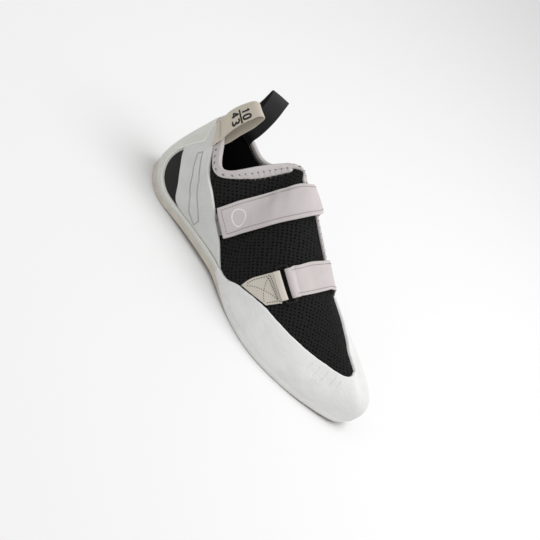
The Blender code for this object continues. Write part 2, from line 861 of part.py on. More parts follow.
def fold_rows(thickness, across, side, path):
    """Webbing folded round a bar of the ring.

    side is 1 for the strap and -1 for the tab. path lists points of the
    section as (distance from the bar along the strap, height above the skin).
    """
    middle, run, normal = ring_frame(np.linspace(0.0, 1.0, across))
    bar = side * RING_WINDOW / 2.0
    rows = [middle + run * (bar + side * away) + normal * height for away, height in path]
    return np.array(rows)


def round_bar(thickness, start, end, steps):
    """Half a turn of webbing round a bar, between two angles in degrees."""
    radius = RING_WIRE / 2.0 + GAP + thickness / 2.0
    height = bar_height(STRAP)
    points = []
    for i in range(steps + 1):
        angle = math.radians(start + (end - start) * i / steps)
        points.append((radius * math.cos(angle), height + radius * math.sin(angle)))
    return points


def make_upper_strap(surface, collection):
    """The strap over the instep."""
    return band("upper_strap", webbing_rows(UPPER_STRAP, STRAP, 4), STRAP, surface, collection)


def make_lower_strap(surface, collection):
    """The forefoot strap, folded back under itself round the ring."""
    low = GAP + STRAP / 2.0
    fold = [(HOOK_RETURN, low), (HOOK_RETURN * 0.5, low)]
    fold += round_bar(STRAP, -90.0, -270.0, 6)
    top = bar_height(STRAP) + RING_WIRE / 2.0 + GAP + STRAP / 2.0
    fold += [(HOOK_RETURN * 0.45, top - 0.0006)]
    rows = np.concatenate(
        [fold_rows(STRAP, 4, 1.0, fold), webbing_rows(LOWER_STRAP, STRAP, 4)]
    )
    return band("lower_strap", rows, STRAP, surface, collection)


def make_strap_tab(surface, collection):
    """The suede tab that holds the ring on the lateral side."""
    low = bar_height(STRAP) - RING_WIRE / 2.0 - GAP - TAB / 2.0
    fold = [(TAB_RETURN, low - 0.0002)]
    fold += round_bar(TAB, -90.0, -270.0, 6)
    top = bar_height(STRAP) + RING_WIRE / 2.0 + GAP + TAB / 2.0
    fold += [(TAB_RETURN, top - 0.0006)]
    rows = np.concatenate(
        [webbing_rows(STRAP_TAB, TAB, 4), fold_rows(TAB, 4, -1.0, fold)]
    )
    return band("strap_tab", rows, TAB, surface, collection)


def make_pile_patch(surface, collection):
    """The pile patch that the upper strap closes on."""
    rows = webbing_rows(PILE_PATCH, PILE, 4)
    return band("pile_patch", rows, PILE, surface, collection)


def make_ring(surface, collection):
    """The rectangular ring that joins tab and lower strap."""
    rear, run_r, normal_r = ring_frame(0.0)
    front, run_f, normal_f = ring_frame(1.0)
    across = (front - rear) / np.linalg.norm(front - rear)
    rear = rear - across * RING_OVERHANG
    front = front + across * RING_OVERHANG
    height = bar_height(STRAP)
    half = RING_WINDOW / 2.0
    path = []
    for part in RING_PARTS:
        middle, run, normal = ring_frame(part)
        path.append(middle + normal * height + run * half)
    path.append(front + normal_f * height + run_f * half * 0.55)
    path.append(front + normal_f * height - run_f * half * 0.55)
    for part in reversed(RING_PARTS):
        middle, run, normal = ring_frame(part)
        path.append(middle + normal * height - run * half)
    path.append(rear + normal_r * height - run_r * half * 0.55)
    path.append(rear + normal_r * height + run_r * half * 0.55)
    path = np.array(path)
    run = np.roll(path, -1, axis=0) - np.roll(path, 1, axis=0)
    run /= np.linalg.norm(run, axis=-1, keepdims=True)
    up = (normal_r + normal_f) / 2.0
    side = np.cross(run, up)
    side /= np.linalg.norm(side, axis=-1, keepdims=True)
    lift = np.cross(side, run)
    rings = []
    for point, out, over in zip(path, side, lift):
        angles = [math.tau * k / 8 for k in range(8)]
        wire = RING_WIRE / 2.0
        rings.append([point + (out * math.cos(a) + over * math.sin(a)) * wire for a in angles])
    return sweep("strap_ring", rings, [], surface, collection)


def make_pull_loop(name, medial, surface, collection):
    """A webbing loop on one side of the heel."""
    height = LOOP_HEIGHT_MEDIAL if medial else LOOP_HEIGHT
    bent = LOOP_LEAN_MEDIAL if medial else LOOP_LEAN
    part = np.linspace(0.0, 1.0, 3)
    u = LOOP_REAR + (LOOP_FRONT - LOOP_REAR) * part
    q = 2.0 - u if medial else u
    edge = rib_point(q, np.ones_like(q))
    out = outward(q)
    length = rib_length(q)
    outside = SEAT + RAND + GAP + LOOP / 2.0 + GAP
    inside = -WALL - BINDING - 2.0 * GAP - LOOP / 2.0
    rows = []
    for up, offset, lean, level in PULL_LOOP:
        up = up * height
        if up < 0.0:
            lift = outside if offset > 0.0 else inside
            rows.append(skin(q, 1.0 + up / length, np.full_like(q, lift)))
            continue
        middle = edge - out * WALL / 2.0
        point = middle + out * offset * WALL
        point[:, 0] += lean * height * bent
        point[:, 2] += (edge[:, 2].mean() - edge[:, 2]) * level + up
        rows.append(point)
    return band(name, np.array(rows), LOOP, surface, collection)


def settle(objects):
    """Puts the origin under the middle of the shoe's box, on the ground."""
    points = []
    for made in objects:
        points += [vertex.co for vertex in made.data.vertices]
    points = np.array([tuple(point) for point in points])
    low = points.min(axis=0)
    high = points.max(axis=0)
    shift = -np.array([(low[0] + high[0]) / 2.0, (low[1] + high[1]) / 2.0, low[2]])
    for made in objects:
        for vertex in made.data.vertices:
            vertex.co = tuple(np.array(vertex.co) + shift)


def main():
    """Clears the scene and builds the shoe."""
    for old in list(bpy.data.objects):
        bpy.data.objects.remove(old)
    shoe = bpy.data.collections.new("climbing_shoe")
    bpy.context.scene.collection.children.link(shoe)

    rubber = material("grey_rubber", (0.50, 0.50, 0.47), 0.55)
    sole_rubber = material("sole_rubber", (0.40, 0.36, 0.32), 0.60)
    mesh_cloth = material("black_mesh", (0.012, 0.012, 0.012), 0.85)
    tape = material("mauve_tape", (0.45, 0.42, 0.42), 0.85)
    suede = material("mauve_microfibre", (0.50, 0.47, 0.46), 0.80)
    tab_suede = material("cream_suede", (0.50, 0.47, 0.42), 0.90)
    pile = material("grey_pile", (0.08, 0.08, 0.08), 0.95)
    lining = material("black_lining", (0.01, 0.01, 0.01), 0.90)
    board = material("insole_board", (0.05, 0.05, 0.05), 0.80)
    plastic = material("black_plastic", (0.01, 0.01, 0.01), 0.40)
    beige_webbing = material("beige_webbing", (0.55, 0.51, 0.44), 0.85)
    black_webbing = material("black_webbing", (0.02, 0.02, 0.02), 0.80)

    made = [
        make_outsole(sole_rubber, shoe),
        make_insole(board, shoe),
        make_upper(mesh_cloth, shoe),
        make_tongue(lining, shoe),
        make_toe_rand(rubber, shoe),
        make_heel_cup(rubber, shoe),
        make_slingshot("slingshot_lateral", False, rubber, shoe),
        make_slingshot("slingshot_medial", True, rubber, shoe),
        make_collar_binding(tape, shoe),
        make_throat_binding("throat_binding_lower", 1.0, COLLAR_END + 0.012, tape, shoe),
        make_throat_binding("throat_binding_upper", -1.0, COLLAR_END + 0.020, tape, shoe),
        make_pile_patch(pile, shoe),
        make_upper_strap(suede, shoe),
        make_lower_strap(suede, shoe),
        make_strap_tab(tab_suede, shoe),
        make_ring(plastic, shoe),
        make_pull_loop("pull_loop_lateral", False, beige_webbing, shoe),
        make_pull_loop("pull_loop_medial", True, black_webbing, shoe),
    ]
    settle(made)


main()
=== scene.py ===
"""Looks of the climbing shoe: rubber, mesh, straps, tape, stitching, studio and camera.

Units are metres. A place on the shoe's skin has the same two coordinates as in
the frame: q runs once round the shoe (0 heel, 1 toe, lateral side first) and t
runs up the rib from the feather line to the collar or crest. A place (a, b)
also crosses the crest: b above 1 goes down the other side.
"""

import math

import bmesh
import bpy
import numpy as np
from mathutils import Matrix


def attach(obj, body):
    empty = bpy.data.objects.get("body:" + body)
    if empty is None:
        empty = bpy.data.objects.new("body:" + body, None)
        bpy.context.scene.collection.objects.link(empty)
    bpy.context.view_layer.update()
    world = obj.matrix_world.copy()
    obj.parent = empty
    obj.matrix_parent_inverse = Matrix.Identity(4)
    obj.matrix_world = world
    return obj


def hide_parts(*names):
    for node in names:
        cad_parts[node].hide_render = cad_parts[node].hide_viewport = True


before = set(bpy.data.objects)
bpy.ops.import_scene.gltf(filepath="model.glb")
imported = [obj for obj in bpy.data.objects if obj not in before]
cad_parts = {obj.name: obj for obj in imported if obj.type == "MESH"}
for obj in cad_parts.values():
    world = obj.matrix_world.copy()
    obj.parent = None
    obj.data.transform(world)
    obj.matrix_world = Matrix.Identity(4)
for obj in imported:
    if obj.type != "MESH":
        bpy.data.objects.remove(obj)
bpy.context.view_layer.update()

# The surface below is laid out from the heel point; this moves it into the frame
SHIFT = np.array([-0.133971, -0.002922, 0.0])

# Driving sizes
LENGTH = 0.268
BALL_WIDTH = 0.092
HEEL_HEIGHT = 0.0754
INSTEP_HEIGHT = 0.0964
ARCH_LIFT = 0.003
TOE_SPRING = 0.006
TOE_SPRING_CURVE = 1.6

# Thicknesses and clearances
GAP = 0.0003
SEAT = 0.00045
WALL = 0.002
RAND = 0.002
SOLE = 0.0054
SOLE_BEVEL = 0.001
INSOLE = 0.0025
INSOLE_CLEARANCE = 0.0013
BINDING = 0.001
BINDING_LEG = 0.006
BINDING_LEG_HEEL = 0.0042
BINDING_LEG_CORNER = 0.004
BINDING_LEG_THROAT = 0.0045
THROAT_OPENING = 0.007
STRAP = 0.0014
TAB = 0.0012
PILE = 0.001
TONGUE = 0.0016
TONGUE_CLEARANCE = 0.0011
LOOP = 0.001
RING_WIRE = 0.0018
RING_OVERHANG = 0.0026
HOOK_RETURN = 0.0055
TAB_RETURN = 0.0036
LOOP_HEIGHT = 0.0395
LOOP_HEIGHT_MEDIAL = 0.0445
LOOP_LEAN = 1.0
LOOP_LEAN_MEDIAL = -0.1

# Stations along the shoe
COLLAR_END = 0.42
THROAT_START = 0.4
THROAT_END = 0.62
THROAT_SPLIT = 0.87
TAPE_END = 0.612
HEEL_FLAT_END = 0.23
ARCH_REAR = 0.4
ARCH_FRONT = 0.42
FOREFOOT_FLAT_START = 0.57
FOREFOOT_FLAT_END = 0.69
TOE_ROUND_START = 0.88
TOE_ROUND_RUN = 0.1
HEEL_ROUND_RUN = 0.07
CREST_BLEND = 0.06
TAPE_FRONT = 0.445
TAPE_REAR = 0.36

# Steps in place for measuring slopes, and how far they keep from the top
TOP_STEP = 0.012
SIDE_STEP = 0.001
FINE_STEP = 0.0004

# Share of the rib over which the skin turns upright at the feather line
FEATHER_TURN = 0.08

# Points closer than this are one
WELD = 0.000002

# How far rubber rounds down at a cut edge
RAND_EDGE = 0.001
CUP_EDGE = 0.0011
BAND_EDGE = 0.0012

# Seams: distance from the edge, pitch, share of the pitch that shows, thread radius
UPPER_SEAM = 0.0028
LOWER_SEAM = 0.0026
TAB_SEAM = 0.002
SEAM_PITCH = 0.0021
SEAM_FILL = 0.56
SEAM_THREAD = 0.00028
SEAM_END = 0.004
ZIGZAG_PITCH = 0.0026
INNER_SEAM_PITCH = 0.0024

# Prints: height above the webbing, line widths, badge's half axes, digits' stretch
PRINT_LIFT = 0.00008
DIGIT_LINE = 0.0016
BAR_LINE = 0.0015
BADGE_LINE = 0.0008
BADGE_SIZE = (0.0052, 0.0066)
DIGIT_STRETCH = (1.12, 1.36)

# Pile: number of hairs, shortest and longest hair, half its width
HAIRS = 2600
HAIR_LENGTH = (0.0007, 0.0016)
HAIR_WIDTH = 0.00009

# Plan of the sole. Columns: station, lateral and medial share of BALL_WIDTH
OUTLINE = [
    (0.0, 0.0, 0.0), (0.1, -0.136, 0.147), (0.2, -0.315, 0.293), (0.25, -0.359, 0.332),
    (0.3, -0.342, 0.337), (0.4, -0.326, 0.315), (0.45, -0.332, 0.321), (0.5, -0.397, 0.359),
    (0.55, -0.451, 0.418), (0.6, -0.467, 0.478), (0.65, -0.429, 0.511), (0.7, -0.342, 0.527),
    (0.75, -0.239, 0.527), (0.8, -0.125, 0.505), (0.9, 0.071, 0.391), (1.0, 0.223, 0.223),
]

# Collar, lateral side. Columns: station, share of LENGTH, share of BALL_WIDTH,
# share of HEEL_HEIGHT, share of INSTEP_HEIGHT
COLLAR_LATERAL = [
    (0.0, 0.043, 0.005, 1.0, 0.0), (0.07, 0.05, -0.06, 1.0, 0.0), (0.13, 0.071, -0.114, 0.986, 0.0),
    (0.18, 0.097, -0.152, 0.953, 0.0), (0.23, 0.127, -0.19, 0.885, 0.0),
    (0.28, 0.159, -0.239, 0.811, 0.0), (0.32, 0.188, -0.272, 0.791, 0.0),
    (0.36, 0.22, -0.234, 0.5, 0.289), (0.39, 0.246, -0.087, 0.2, 0.676), (0.42, 0.285, 0.152, 0.0, 1.0),
]

# Collar, medial side, same columns
COLLAR_MEDIAL = [
    (0.07, 0.05, 0.071, 1.0, 0.0), (0.13, 0.071, 0.141, 1.0, 0.0), (0.18, 0.101, 0.217, 0.986, 0.0),
    (0.23, 0.138, 0.283, 0.939, 0.0), (0.28, 0.175, 0.31, 0.905, 0.0), (0.32, 0.209, 0.31, 0.932, 0.0),
    (0.36, 0.239, 0.299, 0.5, 0.421), (0.39, 0.261, 0.266, 0.2, 0.755),
]

# Crest of the vamp from collar to toe, same columns
CREST = [
    (0.46, 0.343, 0.158, 0.0, 1.0), (0.5, 0.396, 0.147, 0.0, 0.958), (0.55, 0.47, 0.141, 0.0, 0.874),
    (0.6, 0.545, 0.141, 0.0, 0.758), (0.65, 0.616, 0.141, 0.0, 0.658), (0.7, 0.683, 0.147, 0.0, 0.579),
    (0.75, 0.743, 0.152, 0.0, 0.521), (0.8, 0.795, 0.158, 0.0, 0.474), (0.85, 0.84, 0.163, 0.0, 0.437),
    (0.9, 0.871, 0.166, 0.0, 0.411), (0.95, 0.892, 0.168, 0.0, 0.395), (1.0, 0.899, 0.168, 0.0, 0.389),
]

# How each rib bends. Low handle: out (share of BALL_WIDTH) and up (share of
# HEEL_HEIGHT). High handle: out and down, in the same shares.
# Columns: station, then low out, low up, high out, high down for the lateral
# side, and the same four for the medial side
RIBS = [
    (0.0, 0.05, 0.243, 0.043, 0.297, 0.05, 0.243, 0.043, 0.297),
    (0.1, 0.056, 0.243, 0.04, 0.297, 0.056, 0.243, 0.04, 0.297),
    (0.2, 0.06, 0.243, 0.043, 0.297, 0.06, 0.243, 0.033, 0.297),
    (0.3, 0.043, 0.243, 0.043, 0.27, 0.033, 0.27, 0.033, 0.297),
    (0.4, 0.033, 0.297, 0.152, 0.162, 0.0, 0.351, 0.098, 0.189),
    (0.5, 0.033, 0.27, 0.25, 0.0, 0.011, 0.351, 0.185, 0.0),
    (0.6, 0.027, 0.23, 0.293, 0.0, 0.022, 0.297, 0.239, 0.0),
    (0.7, 0.022, 0.203, 0.272, 0.0, 0.022, 0.257, 0.261, 0.0),
    (0.8, 0.022, 0.189, 0.217, 0.0, 0.03, 0.255, 0.275, 0.0),
    (0.9, 0.033, 0.18, 0.212, 0.0, 0.055, 0.245, 0.285, 0.0),
    (1.0, 0.045, 0.195, 0.24, 0.0, 0.045, 0.195, 0.24, 0.0),
]

# Upper edge of the toe rand. Columns: station, height up the rib
TOE_RAND_LATERAL = [
    (0.4522, 0.05), (0.4725, 0.068), (0.4888, 0.11), (0.51, 0.175), (0.5312, 0.22), (0.56, 0.273),
    (0.5887, 0.32), (0.6188, 0.358), (0.6488, 0.391), (0.6775, 0.421), (0.7075, 0.452), (0.7388, 0.487),
    (0.7712, 0.533), (0.815, 0.597), (0.84, 0.65), (0.8638, 0.713), (0.885, 0.78), (0.905, 0.85),
    (0.923, 0.925), (0.94, 1.0),
]
TOE_RAND_MEDIAL = [
    (0.4522, 0.05), (0.5, 0.24), (0.55, 0.4), (0.6, 0.53), (0.65, 0.64), (0.7, 0.74), (0.74, 0.815),
    (0.7688, 0.863), (0.7975, 0.9), (0.8237, 0.948), (0.85, 0.962), (0.8862, 0.962), (0.9163, 0.97),
    (0.94, 1.0),
]
# Straps and tab. Columns: station and girth of the rear edge, station and girth
# of the front edge, height of the middle of the webbing above the skin in
# multiples of its own thickness
UPPER_STRAP = [
    (0.376, 0.447, 0.418, 0.222, 1.9), (0.388, 0.5, 0.434, 0.3, 1.85),
    (0.399, 0.547, 0.449, 0.372, 1.65), (0.422, 0.62, 0.482, 0.513, 1.4),
    (0.452, 0.747, 0.51, 0.657, 1.5), (0.467, 0.887, 0.528, 0.787, 2.2), (0.473, 1.0, 0.536, 0.92, 3.6),
    (0.472, 1.12, 0.534, 1.06, 4.2), (0.466, 1.28, 0.526, 1.22, 3.2), (0.458, 1.45, 0.517, 1.4, 1.9),
    (0.45, 1.6, 0.508, 1.55, 1.1), (0.446, 1.7, 0.503, 1.66, 0.9),
]
LOWER_STRAP = [
    (0.583, 0.64, 0.633, 0.64, 1.85), (0.59, 0.69, 0.64, 0.69, 1.75), (0.597, 0.76, 0.65, 0.77, 1.25),
    (0.605, 0.85, 0.662, 0.88, 1.8), (0.613, 0.95, 0.672, 0.99, 3.2), (0.6165, 1.06, 0.676, 1.08, 3.6),
    (0.614, 1.18, 0.672, 1.18, 2.2), (0.609, 1.32, 0.666, 1.27, 1.2), (0.606, 1.42, 0.663, 1.33, 0.9),
]
STRAP_TAB = [
    (0.5185, 0.206, 0.589, 0.334, 0.9), (0.527, 0.293, 0.596, 0.372, 0.9),
    (0.541, 0.373, 0.604, 0.415, 0.9), (0.555, 0.45, 0.612, 0.462, 0.9),
]
PILE_PATCH = [
    (0.3745, 0.352, 0.401, 0.196, 1.0), (0.396, 0.44, 0.426, 0.3, 1.0), (0.406, 0.48, 0.44, 0.36, 1.0),
]

# The ring between tab and lower strap. Rear and front station of the webbing
# and girth of the window's middle
RING_REAR = 0.5715
RING_FRONT = 0.6218
RING_GIRTH = 0.5480
RING_PARTS = (-0.05, 0.333, 0.667, 1.05)

# The tongue under the throat. Columns: girth, rear station, front station
TONGUE_ROWS = [
    (0.86, 0.446, 0.64), (0.93, 0.444, 0.648), (1.0, 0.443, 0.652), (1.08, 0.442, 0.652),
    (1.16, 0.44, 0.65), (1.24, 0.438, 0.644), (1.32, 0.437, 0.636),
]

# Pull loops, as a path from the outer foot over the fold to the inner foot.
# Columns: share of LOOP_HEIGHT above the collar, offset outwards from the
# collar wall as share of WALL, lean forwards as share of LOOP_HEIGHT, how far
# the webbing has turned level
PULL_LOOP = [
    (-0.22, 2.0, 0.0, 0.0), (-0.1, 2.0, 0.0, 0.0), (0.06, 1.9, 0.0, 0.0), (0.36, 2.75, 0.04, 0.4),
    (0.66, 2.75, 0.1, 0.8), (0.88, 2.1, 0.15, 1.0), (0.98, 1.1, 0.17, 1.0), (1.0, -0.2, 0.18, 1.0),
    (0.96, -1.5, 0.17, 1.0), (0.84, -2.5, 0.14, 1.0), (0.62, -3.2, 0.1, 0.8), (0.34, -3.0, 0.04, 0.4),
    (0.06, -2.6, 0.0, 0.0), (-0.1, -2.45, 0.0, 0.0), (-0.2, -2.45, 0.0, 0.0),
]
LOOP_REAR = 0.115
LOOP_FRONT = 0.216

# Upper edge of the heel cup from the heel forwards, round the lobe and the
# window, then along the arch. Columns: q, t, and q of the matching place below
HEEL_CUP_EDGE = [
    (0.0, 0.93, 0.0), (0.03, 0.93, 0.015), (0.06, 0.93, 0.032), (0.09, 0.93, 0.05),
    (0.118, 0.905, 0.065), (0.14, 0.862, 0.076), (0.16, 0.82, 0.084), (0.173, 0.785, 0.09),
    (0.169, 0.735, 0.095), (0.16, 0.67, 0.1), (0.151, 0.59, 0.105), (0.144, 0.52, 0.108),
    (0.137, 0.46, 0.111), (0.1325, 0.39, 0.115), (0.1345, 0.3, 0.12), (0.144, 0.235, 0.129),
    (0.1625, 0.18, 0.148), (0.1925, 0.123, 0.18), (0.22, 0.1, 0.21), (0.252, 0.085, 0.245),
    (0.3, 0.07, 0.295), (0.36, 0.058, 0.358), (0.44, 0.05, 0.44), (0.4535, 0.05, 0.4535),
]

# The slingshot band. Columns: q and t of its upper edge, q and t of the
# matching place on its lower edge
SLINGSHOT_EDGES = [
    (0.104, 0.945, 0.104, 0.8), (0.1487, 0.945, 0.124, 0.7), (0.1963, 0.907, 0.138, 0.56),
    (0.24, 0.872, 0.16, 0.475), (0.275, 0.853, 0.198, 0.43), (0.3113, 0.815, 0.227, 0.375),
    (0.333, 0.75, 0.247, 0.315), (0.3488, 0.663, 0.262, 0.23), (0.358, 0.58, 0.274, 0.15),
    (0.3663, 0.497, 0.29, 0.098), (0.376, 0.405, 0.312, 0.079), (0.385, 0.325, 0.335, 0.071),
    (0.405, 0.222, 0.37, 0.064), (0.42, 0.165, 0.4, 0.06), (0.437, 0.105, 0.433, 0.057),
    (0.4535, 0.058, 0.4535, 0.056),
]

# Soft ridge and hollow down the band
BAND_RIDGE = [(0.2, 0.86), (0.222, 0.74), (0.245, 0.62), (0.268, 0.5), (0.29, 0.38)]
BAND_HOLLOW = [(0.225, 0.87), (0.25, 0.76), (0.275, 0.64), (0.298, 0.52), (0.32, 0.38)]

# Plain frame pressed into the band, its groove darkened with painted shade
BAND_FRAME = [(0.2038, 0.68), (0.2612, 0.567), (0.3013, 0.387), (0.3237, 0.19),
              (0.351, 0.105), (0.3555, 0.2), (0.336, 0.367), (0.295, 0.64), (0.2112, 0.75)]

# Middle of the plain oval on the upper strap
BADGE = (0.415, 0.405)

# Short slanted grooves in the rand by the toe, as pairs of places
GROOVES = [
    ((0.7388, 0.41), (0.7338, 0.32)), ((0.76, 0.443), (0.755, 0.317)),
    ((0.7863, 0.477), (0.7775, 0.327)), ((0.8175, 0.52), (0.8037, 0.363)),
    ((0.84, 0.545), (0.828, 0.42)),
]

# Where the rand closes over the crest, and how low rubber laps over the sole
RAND_CLOSED = 0.936
RAND_SKIRT_ARCH = 0.0042
RAND_SKIRT_TOE = 0.0004
CUP_SKIRT = 0.0042
TOE_ROUND = 0.0026
HEEL_ROUND = 0.0018

# Corners of the throat, as places along the tape
THROAT_CORNER = [
    (-0.427, 0.815), (-0.414, 0.85), (-0.407, 0.9), (-0.4025, 0.95), (-0.396, 0.985), (-0.382, 1.0),
]
FLAP_CORNER = [(0.412, 1.0), (0.4235, 1.01), (0.431, 1.035), (0.44, 1.06)]

# The ring's bars from the window's middle, on the strap's side and the tab's
RING_STRAP_SIDE = 0.0037
RING_TAB_SIDE = 0.005

# Pull loops: how the black one narrows and bellies, and where the size is printed
LOOP_TAPER_MEDIAL = 0.20
LOOP_BELLY = 0.0022
LOOP_FOOT_SLANT = [0.25, 0.55, 0.85]
LOOP_INNER_FOOT = 0.35
LOOP_PRINT = (0.029, 0.0105)

# Fabric
HOLE_PITCH = 0.0030

# Colours, as the light of the studio needs them
# Band, heel cup and rand are one grey rubber; their colours differ as painted light and shade, each set
# to how brightly that piece is lit, the rand lightest.
BAND_COLOUR = (0.555, 0.555, 0.54)
CUP_COLOUR = (0.6, 0.6, 0.56)
RAND_COLOUR = (0.68, 0.68, 0.67)
SOLE_COLOUR = (0.57, 0.522, 0.452)
TAPE_COLOUR = (0.58, 0.545, 0.54)
THREAD_COLOUR = (0.5, 0.47, 0.45)
# The strap stitches are thread darkened with painted shade, standing for the shade in their needle
# holes.
STRAP_THREAD_AND_SHADE_COLOUR = (0.13, 0.11, 0.11)
SUEDE_COLOUR = (0.56, 0.517, 0.514)
TAB_COLOUR = (0.59, 0.55, 0.485)
# The beige is painted lighter to make up for light that the loop's fold, less tilted than the real one,
# does not catch.
BEIGE = (0.59, 0.54, 0.45)
BLACK_TAPE = (0.022, 0.022, 0.022)
FLOOR_COLOUR = (0.79, 0.79, 0.79)

# Light: name, place, power in watts, width
SKY = 0.70
SKY_COLOUR = (1.0, 1.0, 1.0)
LAMPS = [
    ("key", (0.45, 0.35, 1.2), 11.0, 1.2), ("fill", (-0.5, -1.1, 0.8), 2.0, 1.6),
]

# Camera, in pixels of the picture where it says so
AZIMUTH = math.radians(15.0)
ELEVATION = math.radians(27.0)
ROLL = math.radians(50.1)
DISTANCE = 1.3
SENSOR = 36.0
PICTURE = 540.0
FOCAL = 1625.0
SHIFT_X = -14.0
SHIFT_Y = -4.0
TARGET = np.array([0.139, 0.0, 0.0464]) + SHIFT


def clamp01(value):
    """Limits a value to 0..1."""
    return np.clip(value, 0.0, 1.0)


def smooth(value):
    """Soft step from 0 to 1."""
    value = clamp01(value)
    return value * value * (3.0 - 2.0 * value)


def swell(away, reach, height):
    """A soft ridge, or a trough where height is below zero."""
    return height * np.exp(-((away / reach) ** 2))


def unit(vector):
    """The vector at a length of one."""
    return vector / np.linalg.norm(vector, axis=-1, keepdims=True)


def run_length(points, axis=0):
    """Distance along lines of points, from their first."""
    steps = np.diff(points, axis=axis, prepend=np.take(points, [0], axis))
    return np.cumsum(np.linalg.norm(steps, axis=-1), axis=axis)


def walk(line, count):
    """Even steps along a line with corners."""
    chord = run_length(line)
    at = np.linspace(0.0, chord[-1], count)
    return np.stack([np.interp(at, chord, column) for column in line.T], -1)


def spline(knots, values):
    """Returns a function for the smooth curve through rows of values."""
    count = len(knots)
    step = np.diff(knots)
    system = np.zeros((count, count))
    right = np.zeros((count, values.shape[1]))
    system[0, 0] = system[-1, -1] = 1.0
    slope = np.diff(values, axis=0) / step[:, None]
    for i in range(1, count - 1):
        system[i, i - 1 : i + 2] = step[i - 1], 2.0 * (step[i - 1] + step[i]), step[i]
        right[i] = 6.0 * (slope[i] - slope[i - 1])
    bend = np.linalg.solve(system, right)

    def value_at(at):
        at = np.asarray(at, float)
        i = np.clip(np.searchsorted(knots, at, side="right") - 1, 0, count - 2)
        width = step[i][..., None]
        left = (at - knots[i])[..., None]
        rest = width - left
        cubic = (bend[i] * rest**3 + bend[i + 1] * left**3) / (6.0 * width)
        from_left = (values[i] / width - bend[i] * width / 6.0) * rest
        from_right = (values[i + 1] / width - bend[i + 1] * width / 6.0) * left
        return cubic + from_left + from_right

    return value_at


def round_trip(lateral, medial):
    """Spline over q from rows of (station, values) for the two sides."""
    rows = [(row[0], row[1:]) for row in lateral]
    rows += [(2.0 - row[0], row[1:]) for row in reversed(medial) if 0.0 < row[0] < 1.0]
    overlap = 5
    before = [(q - 2.0, value) for q, value in rows[-overlap:]]
    after = [(q + 2.0, value) for q, value in rows[:overlap]]
    knots, values = zip(*before, *rows, *after)
    return spline(np.array(knots), np.array(values))


outline_at = round_trip([row[:2] for row in OUTLINE], [row[::2] for row in OUTLINE])
top_at = round_trip(COLLAR_LATERAL + CREST, COLLAR_MEDIAL + COLLAR_LATERAL[-1:] + CREST)
ribs_at = round_trip([row[:5] for row in RIBS], [row[:1] + row[5:] for row in RIBS])


def station(q):
    """Station along the shoe of a place q round it."""
    q = np.mod(np.asarray(q, float), 2.0)
    return np.where(q <= 1.0, q, 2.0 - q)


def ground(u):
    """Height of the sole's underside: flat at heel and forefoot."""
    rise = smooth((u - HEEL_FLAT_END) / (ARCH_REAR - HEEL_FLAT_END))
    fall = smooth((FOREFOOT_FLAT_START - u) / (FOREFOOT_FLAT_START - ARCH_FRONT))
    spring = clamp01((u - FOREFOOT_FLAT_END) / (1.0 - FOREFOOT_FLAT_END))
    return ARCH_LIFT * rise * fall + TOE_SPRING * spring**TOE_SPRING_CURVE


def sole_edge(q):
    """The lower edge of the sole's side."""
    u = station(q)
    along = LENGTH * (1.0 - np.cos(np.pi * u)) / 2.0
    across = outline_at(np.mod(q, 2.0))[..., 0] * BALL_WIDTH
    return np.stack([along, across, ground(u)], -1)


def outward(q):
    """Level unit vector out of the sole's outline."""
    q = np.asarray(q, float)
    run = unit((sole_edge(q + SIDE_STEP) - sole_edge(q - SIDE_STEP))[..., :2])
    return np.stack([run[..., 1], -run[..., 0], np.zeros_like(q)], -1)


def inset_edge(q, inset, height):
    """The sole's outline moved in, at a height above its underside."""
    q = np.asarray(q, float)
    return sole_edge(q) - outward(q) * inset + np.array([0.0, 0.0, height])


def top_line(q):
    """Collar at the back, crest of the vamp in front."""
    u = station(q)
    q = np.where(u >= COLLAR_END, u, np.mod(q, 2.0))
    share = top_at(q)
    height = share[..., 2] * HEEL_HEIGHT + share[..., 3] * INSTEP_HEIGHT
    return np.stack([share[..., 0] * LENGTH, share[..., 1] * BALL_WIDTH, height], -1)


def crest_run(q):
    """Level direction of the crest and its slope."""
    u = np.clip(station(q), COLLAR_END + 0.005, 0.985)
    run = top_line(u + SIDE_STEP) - top_line(u - SIDE_STEP)
    level = np.linalg.norm(run[..., :2], axis=-1, keepdims=True)
    return run[..., :2] / level, run[..., 2] / level[..., 0]


def rib_point(q, t):
    """A point on the rib at q, t of the way up."""
    foot = inset_edge(q, RAND + 2.0 * GAP, SOLE + GAP)
    top = top_line(q)
    out = outward(q)
    shape = ribs_at(np.mod(q, 2.0))
    low = foot + out * shape[..., 0:1] * BALL_WIDTH
    low[..., 2] += shape[..., 1] * HEEL_HEIGHT
    reach = shape[..., 2] * BALL_WIDTH
    along, slope = crest_run(q)
    on_crest = smooth((station(q) - COLLAR_END) / CREST_BLEND)
    climb = (out[..., :2] * along).sum(-1) * slope * reach * on_crest
    high = top + out * reach[..., None]
    high[..., 2] += climb - (1.0 - on_crest) * shape[..., 3] * HEEL_HEIGHT
    t = t[..., None]
    s = 1.0 - t
    return s**3 * foot + 3.0 * s * s * t * low + 3.0 * s * t * t * high + t**3 * top


def skin_normal(q, t):
    """Unit normal of the skin, level at the feather line."""
    inner = np.clip(t, SIDE_STEP, 1.0 - TOP_STEP)
    round_it = rib_point(q + SIDE_STEP, inner) - rib_point(q - SIDE_STEP, inner)
    up_it = rib_point(q, inner + SIDE_STEP) - rib_point(q, inner - SIDE_STEP)
    normal = np.cross(round_it, up_it)
    normal[..., 2] *= smooth(t / FEATHER_TURN)
    return unit(normal)


def rib_length(q):
    """Length of skin in one whole step of t, measured near the top."""
    q = np.asarray(q, float)
    near = 0.05
    run = rib_point(q, np.full_like(q, 1.0)) - rib_point(q, np.full_like(q, 1.0 - near))
    return np.linalg.norm(run, axis=-1) / near


def girth_place(u, g):
    """Turns station and girth into q and t."""
    u, g = np.broadcast_arrays(np.asarray(u, float), np.asarray(g, float))
    return np.where(g <= 1.0, u, 2.0 - u), np.where(g <= 1.0, g, 2.0 - g)


